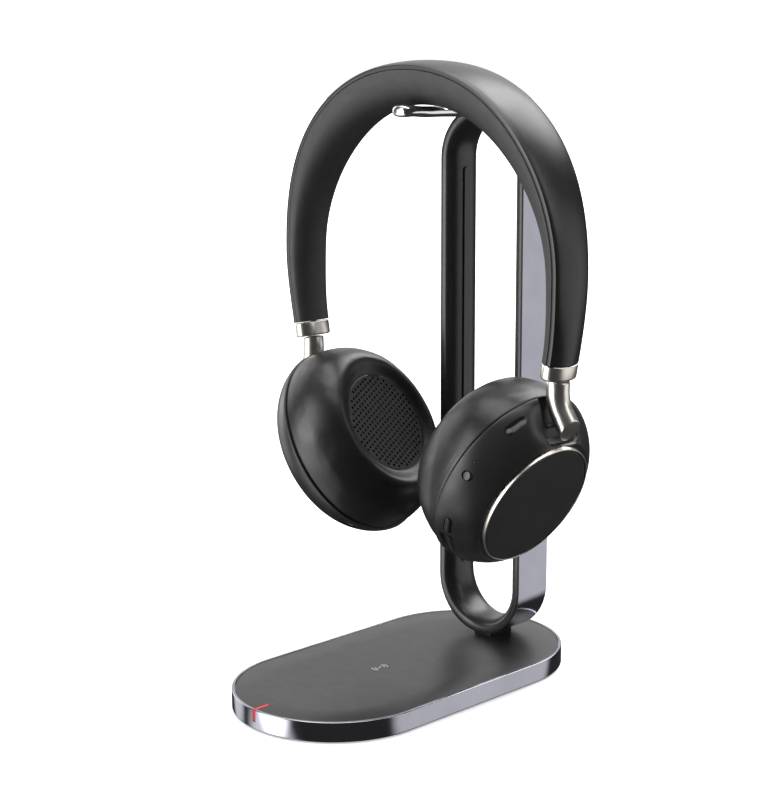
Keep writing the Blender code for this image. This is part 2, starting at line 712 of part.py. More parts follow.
def slot_ring(half_length, half_width, arc=6):
    ring = []
    for sign in (1, -1):
        for i in range(arc + 1):
            angle = -math.pi / 2 + math.pi * i / arc
            ring.append((
                sign * (half_length - half_width + half_width * math.cos(angle)),
                sign * half_width * math.sin(angle),
            ))
    return ring


def slot_piece(name, side, degrees, depth, half_length, half_width, low, high, finish, joint, shift=0.0):
    """Round-ended bar that sits in a slot between two levels of the rim."""
    place = rim_point(side, degrees, depth)
    out = rim_normal(side, degrees, depth)
    along = Vector((1.0, 0.0, 0.0)).cross(out)
    rings = []
    for level in (low, high):
        ring = []
        for a, b in slot_ring(half_length, half_width):
            ring.append(place + out * level + along * (a + shift) + Vector((b, 0, 0)))
        rings.append(ring)
    return loft(name, rings, finish, matrix=cup_matrix(side), joint=joint)


def right_cup_controls(body, joint):
    side = 1
    round_key("call_button", side, body, 23.4, 6.0 * MM, 1.85 * MM, joint, 0.8 * MM)
    round_key("indicator_right", side, body, 32.5, 5.5 * MM, 0.45 * MM, joint, 0.3 * MM)
    cut(body, slot_cutter("cut_mute", side, -14.0, 6.6 * MM, 4.4 * MM, 1.6 * MM, 3.4 * MM))
    slot_piece("mute_key", side, -14.0, 6.6 * MM, 4.1 * MM, 1.3 * MM, -2.4 * MM, 0.1 * MM, BLACK_GLOSS, joint)
    cut(body, slot_cutter("cut_power", side, 65.6, 6.2 * MM, 5.0 * MM, 1.6 * MM, 1.3 * MM))
    knob = (1.3 * MM, 1.29 * MM, -1.0 * MM, -0.05 * MM)
    slot_piece("power_switch", side, 65.6, 6.2 * MM, *knob, BLACK_GLOSS, joint, POWER_TRAVEL / 2)
    groove = rim_sector("cut_boom", side, -23.5, -88.0, (3.0 * MM, 8.6 * MM), (-3.5 * MM, 4 * MM), CUTTER)
    cut(body, groove)
    matrix = cup_matrix(side)
    hinge = boom_hinge()
    spot = Vector((0.0, hinge.y, hinge.z))
    room_ends = (spot + Vector((3 * MM, 0, 0)), spot + Vector((8.6 * MM, 0, 0)))
    room = cylinder("cut_boom_end", 3.4 * MM, *room_ends, CUTTER, 20, matrix)
    cut(body, room)
    swing = joint_empty("boom_hinge", matrix @ hinge)
    section = ((3.4 * MM, 8.2 * MM), (-3.1 * MM, -0.4 * MM))
    boom = rim_sector("mic_boom", side, -24.5, -85.0, *section, BLACK_SATIN, swing)
    hole_ends = (spot + Vector((1.4 * MM, 0, 0)), spot + Vector((10.4 * MM, 0, 0)))
    pin_hole = cylinder("cut_boom_pin", 1.0 * MM, *hole_ends, CUTTER, 12, matrix)
    cut(body, pin_hole)
    cut(boom, pin_hole)
    pin_ends = (spot + Vector((1.7 * MM, 0, 0)), spot + Vector((10.1 * MM, 0, 0)))
    cylinder("boom_pin", 0.55 * MM, *pin_ends, STEEL, 12, matrix, joint)
    box("cup_circuit_board", (8 * MM, -15 * MM, -22 * MM), (9.4 * MM, 15 * MM, 8 * MM), BOARD, matrix, joint)


def boom_hinge():
    """Boom's hinge point in the right cup's frame."""
    place = rim_point(1, -82.0, 6 * MM, -1.75 * MM)
    return Vector((6 * MM, place.y, place.z))


def left_cup_parts(body, joint):
    side = -1
    cut(body, slot_cutter("cut_cup_port", side, -48.5, 4.6 * MM, 4.7 * MM, 1.8 * MM, 4.2 * MM))
    body_size = (4.4 * MM, 1.5 * MM, -3.9 * MM, -0.9 * MM)
    socket = slot_piece("cup_usb_port", side, -48.5, 4.6 * MM, *body_size, STEEL, joint)
    mouth_size = (3.8 * MM, 0.95 * MM, -3.0 * MM, 2 * MM)
    mouth = slot_piece("cut_cup_mouth", side, -48.5, 4.6 * MM, *mouth_size, CUTTER, None)
    cut(socket, mouth)
    round_key("indicator_left", side, body, -39.0, 6.6 * MM, 0.45 * MM, joint, 0.3 * MM)
    corners = ((-11.5 * MM, -13 * MM, -18 * MM), (-7 * MM, 13 * MM, 6 * MM))
    box("battery", *corners, STEEL, cup_matrix(side), joint)


def ear_cup(side, word):
    joint = joint_empty("tilt_" + word, pivot(side))
    body = shell(side, word, joint)
    cup_trim(side, word, joint)
    cup_insides(side, word, joint)
    cushion(side, word, joint)
    if side > 0:
        right_cup_controls(body, joint)
    else:
        left_cup_parts(body, joint)


def main():
    clear_scene()
    stand()
    headband()
    for side, word in ((-1, "left"), (1, "right")):
        collar(side, "collar_" + word)
        arm(side, word)
        ear_cup(side, word)


main()
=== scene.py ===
"""Looks of the office headset on its charging stand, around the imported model."""
import math

import bmesh
import bpy
from mathutils import Matrix, Vector, noise

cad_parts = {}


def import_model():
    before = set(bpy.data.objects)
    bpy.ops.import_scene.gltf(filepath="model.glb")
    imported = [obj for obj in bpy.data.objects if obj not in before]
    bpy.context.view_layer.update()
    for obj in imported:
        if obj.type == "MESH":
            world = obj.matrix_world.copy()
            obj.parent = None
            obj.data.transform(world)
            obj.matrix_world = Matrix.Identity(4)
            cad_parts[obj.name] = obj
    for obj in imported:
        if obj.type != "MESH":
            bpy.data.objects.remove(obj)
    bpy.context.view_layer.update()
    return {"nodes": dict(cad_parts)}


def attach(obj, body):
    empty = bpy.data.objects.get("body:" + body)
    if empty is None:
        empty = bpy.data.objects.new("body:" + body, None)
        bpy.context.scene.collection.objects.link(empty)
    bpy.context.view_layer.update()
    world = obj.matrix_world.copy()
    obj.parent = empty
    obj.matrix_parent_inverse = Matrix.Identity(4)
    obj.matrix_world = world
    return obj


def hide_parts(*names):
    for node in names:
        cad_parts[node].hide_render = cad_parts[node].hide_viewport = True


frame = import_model()
NODES = frame["nodes"]
MM = 0.001

# The same driving sizes as the CAD part
BASE_HALF_WIDTH = 42.0 * MM
BASE_STRAIGHT = 74.7 * MM
BASE_HEIGHT = 8.6 * MM
RIM_WALL = 2.2 * MM
RIM_LIP = 1.2 * MM
UPRIGHT_HALF_WIDTH = 22.9 * MM
UPRIGHT_FRONT = 46.2 * MM
UPRIGHT_DEPTH = 18.8 * MM
UPRIGHT_BOTTOM = 10.0 * MM
UPRIGHT_TOP = 236.0 * MM
UPRIGHT_BAND = 1.2 * MM
LINER_BULGE = 4.6 * MM
LIP_DEPTH = 0.7 * MM
MID_Y = 15.1 * MM
BAND_HALF_WIDTH = 75.8 * MM
BAND_SPRING_Z = 174.3 * MM
BAND_RISE = 79.0 * MM
BAND_POWER = 2.1
BAND_CLOSING = 3.048
BAND_END_Z = 142.0 * MM
TUBE_HALF = (4.55 * MM, 4.6 * MM)
TUBE_OFFSET = -1.8 * MM
TUBE_BEND_RADIUS = 17.0 * MM
TUBE_START_ANGLE = math.radians(-3)
TUBE_END_ANGLE = math.radians(34)
COLLAR_HEIGHT = 6.4 * MM
CUP_CENTRE = Vector((44.25 * MM, 15.3 * MM, 93.3 * MM))
CUP_TILT = math.radians(30.3)
CUP_YAW = math.radians(4.2)
CUP_ROLL = math.radians(6.65)
SEAM_HALF = (35.4 * MM, 41.3 * MM)
CAP_HALF = (22.8 * MM, 27.7 * MM)
SHELL_DEPTH = 17.8 * MM
SHELL_POWER = 1.6
PIVOT = Vector((70.83 * MM, 15.1 * MM, 118.42 * MM))
GAP = 0.3 * MM
POWER_TRAVEL = 6.6
SCREW_Y = (51.5, 59.5)

# Places on a cup's rim: degrees round it and millimetres out from the seam
CALL_BUTTON = (23.4, 6.0)
RIGHT_LIGHT = (32.5, 5.5)
POWER_SLOT = (65.6, 6.2)
CUP_PORT = (-48.5, 4.6)
LEFT_LIGHT = (-39.0, 6.6)


# ---------------------------------------------------------------- camera
def camera():
    turn, lift, roll = math.radians(45.408), math.radians(11.682), math.radians(-0.158)
    back = Vector((math.sin(turn) * math.cos(lift), -math.cos(turn) * math.cos(lift), math.sin(lift)))
    right = Vector((math.cos(turn), math.sin(turn), 0.0))
    up = back.cross(right)
    across = math.cos(roll) * right + math.sin(roll) * up
    above = math.cos(roll) * up - math.sin(roll) * right
    data = bpy.data.cameras.new("camera")
    data.lens = 81.85
    data.sensor_width = 36.0
    data.clip_start = 0.01
    made = bpy.data.objects.new("camera", data)
    made.matrix_world = Matrix((
        (across.x, above.x, back.x, 0.50940),
        (across.y, above.y, back.y, -0.50852),
        (across.z, above.z, back.z, 0.26849),
        (0.0, 0.0, 0.0, 1.0),
    ))
    bpy.context.scene.collection.objects.link(made)
    bpy.context.scene.camera = made


# ---------------------------------------------------------------- materials
class Look:
    """A small helper that builds one node material."""

    def __init__(self, name):
        self.material = bpy.data.materials.new(name)
        self.material.use_nodes = True
        self.tree = self.material.node_tree
        self.shader = self.tree.nodes["Principled BSDF"]
        self.place = self.node("ShaderNodeTexCoord").outputs["Object"]

    def node(self, kind, **values):
        made = self.tree.nodes.new(kind)
        for key, value in values.items():
            setattr(made, key, value)
        return made

    def link(self, source, target):
        self.tree.links.new(source, target)

    def noise(self, scale, detail=4.0, stretch=None, rough=0.6):
        made = self.node("ShaderNodeTexNoise")
        made.inputs["Scale"].default_value = scale
        made.inputs["Detail"].default_value = detail
        made.inputs["Roughness"].default_value = rough
        source = self.place
        if stretch:
            mapping = self.node("ShaderNodeMapping")
            mapping.inputs["Scale"].default_value = stretch
            self.link(source, mapping.inputs["Vector"])
            source = mapping.outputs["Vector"]
        self.link(source, made.inputs["Vector"])
        return made.outputs["Fac"]

    def cells(self, scale, feature="F1"):
        made = self.node("ShaderNodeTexVoronoi", feature=feature)
        made.inputs["Scale"].default_value = scale
        self.link(self.place, made.inputs["Vector"])
        return made.outputs["Distance"]

    def ramp(self, source, low, high, start=0.35, end=0.65):
        made = self.node("ShaderNodeValToRGB")
        made.color_ramp.elements[0].position = start
        made.color_ramp.elements[1].position = end
        made.color_ramp.elements[0].color = (*low, 1.0)
        made.color_ramp.elements[1].color = (*high, 1.0)
        self.link(source, made.inputs["Fac"])
        return made.outputs["Color"]

    def spread(self, source, low, high, start=0.3, end=0.7):
        made = self.node("ShaderNodeMapRange")
        made.inputs["From Min"].default_value = start
        made.inputs["From Max"].default_value = end
        made.inputs["To Min"].default_value = low
        made.inputs["To Max"].default_value = high
        self.link(source, made.inputs["Value"])
        return made.outputs["Result"]

    def colour(self, source):
        self.link(source, self.shader.inputs["Base Color"])

    def roughness(self, source):
        self.link(source, self.shader.inputs["Roughness"])

    def bump(self, source, distance, strength=1.0, below=None):
        made = self.node("ShaderNodeBump")
        made.inputs["Distance"].default_value = distance
        made.inputs["Strength"].default_value = strength
        self.link(source, made.inputs["Height"])
        if below:
            self.link(below, made.inputs["Normal"])
        self.link(made.outputs["Normal"], self.shader.inputs["Normal"])
        return made.outputs["Normal"]

    def set(self, **values):
        for key, value in values.items():
            self.shader.inputs[key.replace("_", " ")].default_value = value


def plastic(name, low, high, rough, grain=2200.0, depth=0.012 * MM, level=0.5):
    look = Look(name)
    look.colour(look.ramp(look.noise(60.0), low, high))
    look.roughness(look.spread(look.noise(180.0), rough[0], rough[1]))
    look.bump(look.noise(grain, 2.0), depth)
    look.shader.inputs["Specular IOR Level"].default_value = level
    return look.material


def leather(name, low, high, rough, pore=1500.0, depth=0.03 * MM, fold=0.10 * MM):
    look = Look(name)
    look.colour(look.ramp(look.noise(90.0, 6.0), low, high))
    look.roughness(look.spread(look.noise(260.0), rough[0], rough[1]))
    soft = look.bump(look.noise(45.0, 3.0), fold, 0.5)
    look.bump(look.cells(pore), depth, 0.7, soft)
    return look.material


def metal(name, low, high, rough, stretch=(1.0, 1.0, 1.0), grain=900.0, depth=0.0006 * MM):
    look = Look(name)
    look.colour(look.ramp(look.noise(40.0), low, high))
    look.roughness(look.spread(look.noise(grain, 3.0, stretch), rough[0], rough[1]))
    look.bump(look.noise(grain, 2.0, stretch), depth, 0.15)
    look.set(Metallic=1.0)
    return look.material


def make_materials():
    made = {}
    made["satin"] = plastic(
        "satin_black_plastic", (0.021, 0.021, 0.0215), (0.024, 0.024, 0.0245), (0.30, 0.36))
    made["cap"] = plastic("matt_black_cap", (0.029, 0.029, 0.029), (0.033, 0.033, 0.033), (0.5, 0.58))
    made["pad"] = plastic(
        "pad_coating", (0.022, 0.022, 0.0225), (0.026, 0.026, 0.0265), (0.33, 0.38), 2600.0)
    made["liner"] = plastic("liner_black", (0.022, 0.022, 0.0225), (0.026, 0.026, 0.0265), (0.27, 0.33))
    made["gloss"] = plastic("gloss_black_key", (0.010, 0.010, 0.010), (0.013, 0.013, 0.013), (0.2, 0.26))
    made["cover"] = plastic("headband_outer", (0.012, 0.012, 0.0125), (0.0155, 0.0155, 0.016), (0.29, 0.34))
    made["leather"] = leather(
        "black_ear_leather", (0.011, 0.011, 0.011), (0.015, 0.015, 0.0145), (0.30, 0.37))
    made["mesh"] = leather("pad_middle_cloth", (0.009, 0.009, 0.009), (0.012, 0.012, 0.012), (0.6, 0.7))
    made["grey_leather"] = leather(
        "grey_band_leather", (0.036, 0.036, 0.0365), (0.042, 0.042, 0.0425), (0.46, 0.56))
    made["nickel"] = metal(
        "satin_nickel", (0.84, 0.79, 0.73), (0.90, 0.85, 0.79), (0.3, 0.33), (1.0, 1.0, 0.12))
    made["gunmetal"] = metal(
        "polished_gunmetal", (0.36, 0.36, 0.42), (0.40, 0.40, 0.455), (0.12, 0.135), (0.1, 0.1, 1.0))
    made["chrome"] = metal("chrome", (0.74, 0.74, 0.75), (0.80, 0.80, 0.81), (0.14, 0.18))
    made["steel"] = metal("plain_steel", (0.45, 0.46, 0.48), (0.55, 0.56, 0.58), (0.28, 0.36))
    made["copper"] = metal("copper_wire", (0.60, 0.27, 0.13), (0.72, 0.36, 0.18), (0.28, 0.4))
    made["board"] = plastic("green_board", (0.01, 0.08, 0.03), (0.015, 0.12, 0.05), (0.4, 0.5))
    made["rubber"] = plastic(
        "foot_rubber", (0.01, 0.01, 0.01), (0.016, 0.016, 0.016), (0.8, 0.9), 900.0, 0.05 * MM)
    made["print"] = plastic("grey_print", (0.55, 0.55, 0.55), (0.62, 0.62, 0.62), (0.5, 0.6))
    # Near-black walls for the screen's punched holes: painted shade inside the holes, darker than the screen
    # cloth itself.
    made["hole"] = plastic("painted_shade_hole", (0.002, 0.002, 0.002), (0.004, 0.004, 0.004), (0.8, 0.9))
    red = Look("red_status_light")
    shade = red.ramp(red.noise(300.0), (0.50, 0.003, 0.004), (0.58, 0.005, 0.006))
    red.colour(shade)
    red.link(shade, red.shader.inputs["Emission Color"])
    red.set(Roughness=0.35, Emission_Strength=0.12)
    made["red"] = red.material
    return made


# ---------------------------------------------------------------- mesh helpers
def shape(name, verts, faces, finish, body, slot, nodes, sharp=35, matrix=None):
    """Make a closed smooth-shaded piece that stands for CAD nodes and rides on a body."""
    mesh = bpy.data.meshes.new(name)
    mesh.from_pydata([tuple(v) for v in verts], [], faces)
    build = bmesh.new()
    build.from_mesh(mesh)
    bmesh.ops.remove_doubles(build, verts=build.verts, dist=1e-7)
    bmesh.ops.recalc_face_normals(build, faces=build.faces)
    if matrix is not None:
        build.transform(matrix)
    build.to_mesh(mesh)
    build.free()
    mesh.shade_smooth()
    mesh.set_sharp_from_angle(angle=math.radians(sharp))
    if finish is not None:
        mesh.materials.append(finish)
    made = bpy.data.objects.new(name, mesh)
    bpy.context.scene.collection.objects.link(made)
    if body:
        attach(made, body)
        if nodes:
            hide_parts(*nodes)
    return made


def skin(rings, closed=False):
    """Vertices and faces of a run of equal rings; open runs get end caps."""
    count = len(rings[0])
    verts = [p for ring in rings for p in ring]
    faces = []
    for i in range(len(rings) if closed else len(rings) - 1):
        a = i * count
        b = ((i + 1) % len(rings)) * count
        for j in range(count):
            k = (j + 1) % count
            faces.append((a + j, a + k, b + k, b + j))
    if not closed:
        faces.append(tuple(range(count)))
        faces.append(tuple((len(rings) - 1) * count + j for j in range(count)))
    return verts, faces


def loft(name, rings, finish, body, slot, nodes=(), closed=False, sharp=35, matrix=None):
    return shape(name, *skin(rings, closed), finish, body, slot, nodes, sharp, matrix)


def carve(target, cutters, sharp=32):
    """Subtract guide bodies from a piece and keep the result as its mesh."""
    for guide in cutters:
        step = target.modifiers.new(guide.name, "BOOLEAN")
        step.operation = "DIFFERENCE"
        step.solver = "EXACT"
        step.object = guide
        step.material_mode = "TRANSFER" if guide.data.materials else "INDEX"
        graph = bpy.context.evaluated_depsgraph_get()
        result = bpy.data.meshes.new_from_object(target.evaluated_get(graph))
        target.modifiers.clear()
        target.data = result
        bpy.data.objects.remove(guide, do_unlink=True)
    target.data.shade_smooth()
    target.data.set_sharp_from_angle(angle=math.radians(sharp))


def cutter(name, rings, matrix=None, closed=False):
    return loft(name, rings, None, None, None, (), closed, 35, matrix)


def bar(name, radius, start, end, matrix=None, count=24):
    start = Vector(start)
    axis = Vector(end) - start
    side = axis.orthogonal().normalized()
    other = axis.normalized().cross(side)
    turns = [2 * math.pi * i / count for i in range(count)]
    rings = []
    for base in (start, start + axis):
        rings.append([base + radius * (math.cos(t) * side + math.sin(t) * other) for t in turns])
    return cutter(name, rings, matrix)


def stadium(offset, z, arc=64):
    radius = BASE_HALF_WIDTH + offset
    points = []
    for end in (1, -1):
        for i in range(arc + 1):
            angle = math.pi * i / arc
            y = end * (BASE_STRAIGHT / 2 + radius * math.sin(angle))
            points.append((end * radius * math.cos(angle), y, z))
    return points


def ellipse(half_y, half_z, x, count=160):
    turns = [2 * math.pi * i / count for i in range(count)]
    return [(x, half_y * math.cos(t), half_z * math.sin(t)) for t in turns]


def smooth_step(value):
    value = min(max(value, 0.0), 1.0)
    return value * value * (3 - 2 * value)


# ---------------------------------------------------------------- stand
def rounded(corners, steps=5):
    """Closed profile whose corners (x, y, radius) are rounded off."""
    points = []
    for i, (x, y, radius) in enumerate(corners):
        place = Vector((x, y))
        before = (Vector(corners[i - 1][:2]) - place).normalized()
        after = (Vector(corners[(i + 1) % len(corners)][:2]) - place).normalized()
        if radius == 0.0:
            points.append(tuple(place))
            continue
        for k in range(steps + 1):
            t = k / steps
            spot = place + before * radius * (1 - t) ** 2 + after * radius * t ** 2
            points.append(tuple(spot))
    return points


def screw_cuts(word):
    """Room for the two screws that come up through the base into the upright."""
    made = []
    for i, y in enumerate(SCREW_Y):
        name = "cut_%s_%d" % (word, i)
        made.append(bar(name, 1.8 * MM, (0, y * MM, 4.4 * MM), (0, y * MM, 13.4 * MM)))
    return made


def stand():
    corners = (
        (-0.4 * MM, 0.5 * MM, 0.1 * MM), (0.0, 0.9 * MM, 0.2 * MM), (0.0, BASE_HEIGHT, 0.42 * MM),
        (-RIM_LIP, BASE_HEIGHT, 0.12 * MM), (-RIM_LIP, 7.3 * MM, 0.0), (-RIM_WALL, 7.3 * MM, 0.0),
        (-RIM_WALL, 0.5 * MM, 0.0),
    )
    rings = [stadium(offset, z) for offset, z in rounded(corners)]
    rim = loft("rim", rings, LOOKS["gunmetal"], "stand", "gunmetal", ["base_rim"], True, 50)
    y0 = 74 * MM
    port = cutter("cut_port", [[(x, y, z) for x, z in slot_outline(4.9 * MM, 1.85 * MM, 4.55 * MM)]
                               for y in (y0, 84 * MM)])
    light = light_cutter()
    carve(rim, [port, light], 50)
    rings = [stadium(-1.5 * MM, z) for z in (7.7 * MM, BASE_HEIGHT - 0.22 * MM)]
    rings += [stadium(-1.56 * MM, 8.45 * MM), stadium(-1.7 * MM, BASE_HEIGHT - 0.1 * MM)]
    rings += [stadium(-14 * MM, BASE_HEIGHT - 0.1 * MM)]
    pad = loft("phone_pad", rings, LOOKS["pad"], "stand", "black_satin", ["top_pad"])
    carve(pad, [light_cutter()] + screw_cuts("shaft"))
    charging_mark()
    near = UPRIGHT_FRONT + LIP_DEPTH
    rear = UPRIGHT_FRONT + UPRIGHT_DEPTH
    outline = (
        (0.0, near, 0.08 * MM), (0.0, rear, 0.3 * MM),
        (UPRIGHT_BAND, rear, 0.2 * MM), (UPRIGHT_BAND, near, 0.08 * MM),
    )
    rings = [loop_outline(inset, y) for inset, y in rounded(outline)]
    band = loft("upright_outer", rings, LOOKS["gunmetal"], "stand", "gunmetal", ["upright_band"], True, 50)
    start = UPRIGHT_BAND + GAP
    half = UPRIGHT_DEPTH / 2 - 0.1 * MM
    middle = UPRIGHT_FRONT + UPRIGHT_DEPTH / 2
    rings = []
    for i in range(33):
        angle = math.pi * i / 32
        bulge = LINER_BULGE * math.sin(angle) ** 0.8
        across = half * math.copysign(abs(math.cos(angle)) ** 0.9, math.cos(angle))
        rings.append(loop_outline(start + bulge, middle + across))
    front = UPRIGHT_FRONT + LIP_DEPTH - 0.06 * MM
    rings.append(loop_outline(0.5 * MM, UPRIGHT_FRONT + 0.02 * MM))
    rings.append(loop_outline(0.12 * MM, UPRIGHT_FRONT + 0.2 * MM))
    rings.append(loop_outline(0.08 * MM, front))
    rings.append(loop_outline(start - 0.05 * MM, front))
    liner = loft("upright_inner", rings, LOOKS["liner"], "stand", "black_satin", ["upright_liner"], True, 50)
    for target in (band, liner):
        carve(target, screw_cuts("hole"), 50)
    saddle()
    hook()


def saddle():
    """Low block under the loop's round end."""
    radius = UPRIGHT_HALF_WIDTH + 0.25 * MM
    centre = UPRIGHT_BOTTOM + UPRIGHT_HALF_WIDTH
    rings = []
    for i in range(29):
        x = (i - 14) * 0.36 * MM
        top = centre - math.sqrt(radius ** 2 - x ** 2)
        low = BASE_HEIGHT - 0.05 * MM
        inset = 0.5 * MM if i in (0, 28) else 0.0
        rings.append([(x, 49.5 * MM + inset, low), (x, 63 * MM - inset, low),
                      (x, 63 * MM - inset, top), (x, 49.5 * MM + inset, top)])
    made = loft("loop_saddle", rings, LOOKS["satin"], "stand", "black_satin", ["pedestal"])
    carve(made, screw_cuts("saddle"))


def slot_outline(half_length, half_width, z=0.0, arc=8):
    points = []
    for sign in (1, -1):
        for i in range(arc + 1):
            angle = -math.pi / 2 + math.pi * i / arc
            x = sign * (half_length - half_width + half_width * math.cos(angle))
            points.append((x, z + sign * half_width * math.sin(angle)))
    return points


def light_cutter():
    """The L-shaped gap that holds the status light."""
    x, reach, grow = -1.9 * MM, 6 * MM, 0.3 * MM
    front = -79.35 * MM - reach
    outline = (
        (front, BASE_HEIGHT + reach), (front, 4.0 * MM - grow), (-78.3 * MM + grow, 4.0 * MM - grow),
        (-78.3 * MM + grow, 7.9 * MM - grow), (-71.7 * MM + grow, 7.9 * MM - grow),
        (-71.7 * MM + grow, BASE_HEIGHT + reach),
    )
    return cutter("cut_light", [[(x + s * 0.95 * MM, y, z) for y, z in outline] for s in (-1, 1)])


def charging_mark():
    """Thin printed sign: a dot between two pairs of arcs."""
    low, high = BASE_HEIGHT - 0.1 * MM, BASE_HEIGHT - 0.05 * MM
    centre = Vector((-1.5 * MM, -11.5 * MM, 0.0))
    verts = []
    faces = []

    def strip(points):
        count = len(points) // 2
        start = len(verts)
        for z in (low, high):
            verts.extend((centre.x + x, centre.y + y, z) for x, y in points)
        step = len(points)
        for i in range(count - 1):
            a = start + i
            b = start + i + 1
            c = start + step - 1 - i - 1
            d = start + step - 1 - i
            faces.append((a, b, c, d))
            faces.append((a + step, d + step, c + step, b + step))
        for i in range(step):
            k = (i + 1) % step
            faces.append((start + i, start + step + i, start + step + k, start + k))

    for side in (-1, 1):
        for radius in (2.1, 3.5):
            inner, outer = [], []
            for i in range(9):
                angle = math.radians(-38 + 76 * i / 8)
                for row, r in ((inner, radius - 0.22), (outer, radius + 0.22)):
                    row.append((r * math.sin(angle) * MM * 0.9, side * r * math.cos(angle) * MM))
            strip(inner + outer[::-1])
    dot = []
    for i in range(12):
        angle = 2 * math.pi * i / 12
        dot.append((0.55 * MM * math.cos(angle), 0.55 * MM * math.sin(angle)))
    strip(dot)
    shape("charging_mark", verts, faces, LOOKS["print"], "stand", "black_satin", ())


def loop_outline(inset, y, arc=64):
    radius = UPRIGHT_HALF_WIDTH - inset
    points = []
    for centre, sign in ((UPRIGHT_TOP - UPRIGHT_HALF_WIDTH, 1), (UPRIGHT_BOTTOM + UPRIGHT_HALF_WIDTH, -1)):
        for i in range(arc + 1):
            angle = math.pi * i / arc
            points.append((sign * radius * math.cos(angle), y, centre + sign * radius * math.sin(angle)))
    return points


def blend_rows(rows, steps):
    """Smooth curve through rows of numbers (Catmull-Rom)."""
    made = []
    for i in range(len(rows) - 1):
        p = [rows[max(i - 1, 0)], rows[i], rows[i + 1], rows[min(i + 2, len(rows) - 1)]]
        for k in range(steps):
            t = k / steps
            before = (-t + 2 * t * t - t ** 3, 2 - 5 * t * t + 3 * t ** 3)
            weights = (*before, t + 4 * t * t - 3 * t ** 3, t ** 3 - t * t)
            made.append([sum(weights[j] * p[j][c] for j in range(4)) / 2 for c in range(len(rows[0]))])
    made.append(list(rows[-1]))
    return made


def hook():
    stations = (
        (-1.9, 235.1, 1.6, 0.9), (-1.6, 235.1, 3.0, 1.7), (-0.6, 235.1, 4.4, 2.3), (1.5, 235.1, 5.2, 2.45),
        (6.0, 234.9, 5.6, 2.2), (12.0, 234.4, 5.6, 2.2), (19.0, 234.3, 5.6, 2.2), (27.0, 234.1, 6.2, 2.2),
        (36.0, 233.6, 6.6, 2.1), (45.9, 232.8, 7.0, 2.0),
    )
    rings = []
    for y, z, half_x, half_z in blend_rows(stations, 6):
        ring = []
        for i in range(40):
            angle = 2 * math.pi * i / 40
            x = half_x * math.copysign(abs(math.cos(angle)) ** 0.8, math.cos(angle))
            rise = half_z * math.copysign(abs(math.sin(angle)) ** 0.8, math.sin(angle))
            ring.append((x * MM, y * MM, (z + rise) * MM))
        rings.append(ring)
    loft("hook_bar", rings, LOOKS["chrome"], "stand", "chrome_plate", ["hook"])


# ---------------------------------------------------------------- headband
def band_frames(arm_steps=14, arc_steps=64):
    right = []
    for i in range(arm_steps):
        z = BAND_END_Z + (BAND_SPRING_Z - BAND_END_Z) * i / arm_steps
        right.append((BAND_HALF_WIDTH - BAND_CLOSING * (BAND_SPRING_Z - z) ** 2, z))
    for i in range(arc_steps + 1):
        angle = math.pi / 2 * i / arc_steps
        x = BAND_HALF_WIDTH * max(math.cos(angle), 0.0) ** (2 / BAND_POWER)
        right.append((x, BAND_SPRING_Z + BAND_RISE * math.sin(angle) ** (2 / BAND_POWER)))
    path = [(-x, z) for x, z in right[:-1]] + right[::-1]
    frames = []
    for i, (x, z) in enumerate(path):
        before = path[max(i - 1, 0)]
        after = path[min(i + 1, len(path) - 1)]
        along = Vector((after[0] - before[0], 0.0, after[1] - before[1])).normalized()
        frames.append((Vector((x, MID_Y, z)), Vector((-along.z, 0.0, along.x)), z))
    return frames


def band_shape(z):
    upper = smooth_step((z - 175 * MM) / (70 * MM))
    lower = smooth_step((175 * MM - z) / (33 * MM))
    half_width = (9.7 + 3.3 * upper - 1.1 * lower) * MM
    crown = (1.3 + 1.3 * lower) * MM
    depth = (8.6 + 7.7 * smooth_step((z - 165 * MM) / (88 * MM)) - 1.2 * lower) * MM
    return half_width, crown, depth


def headband():
    cover_rings = []
    pad_rings = []
    for place, outward, z in band_frames():
        half, crown, depth = band_shape(z)

        def ring(outline):
            return [place + Vector((0.0, a, 0.0)) + outward * b for a, b in outline]

        outer = []
        for i in range(25):
            turn = 1 - i / 12
            across = half * turn
            edge = 0.35 * MM * abs(turn) ** 14
            outer.append((across - math.copysign(0.3 * edge, turn), crown * (1 - turn ** 2) - edge))
        lip = half - 1.2 * MM
        inner = [(-half, -1.2 * MM), (-half + 0.12 * MM, -1.98 * MM), (-lip, -1.98 * MM), (-lip, -0.4 * MM)]
        inner += [(lip, -0.4 * MM), (lip, -1.98 * MM), (half - 0.12 * MM, -1.98 * MM), (half, -1.2 * MM)]
        cover_rings.append(ring(outer + inner))
        pad = [(half - 0.22 * MM, -2.2 * MM)]
        for i in range(41):
            angle = math.pi * i / 40
            side = math.copysign(abs(math.cos(angle)) ** 0.86, math.cos(angle))
            pad.append((half * side, -2.4 * MM - (depth - 2.4 * MM) * math.sin(angle) ** 0.86))
        pad.append((-half + 0.22 * MM, -2.2 * MM))
        tongue = half - 1.5 * MM
        groove = 3.4 * MM
        pad += [(-tongue, -2.2 * MM), (-tongue, -0.7 * MM), (-groove, -0.7 * MM), (-groove, -6.6 * MM)]
        pad += [(groove, -6.6 * MM), (groove, -0.7 * MM), (tongue, -0.7 * MM), (tongue, -2.2 * MM)]
        pad_rings.append(ring(pad))
    loft("band_outer", cover_rings, LOOKS["cover"], "headband", "black_satin", ["headband_cover"])
    pad = loft(
        "band_padding", pad_rings, LOOKS["grey_leather"], "headband", "grey_leather", ["headband_padding"])


def arm_frame(side):
    frames = band_frames()
    end = frames[0][0] if side < 0 else frames[-1][0]
    inner = frames[1][0] if side < 0 else frames[-2][0]
    down = (end - inner).normalized()
    return end, down, Vector((-down.z * side, 0.0, down.x * side))


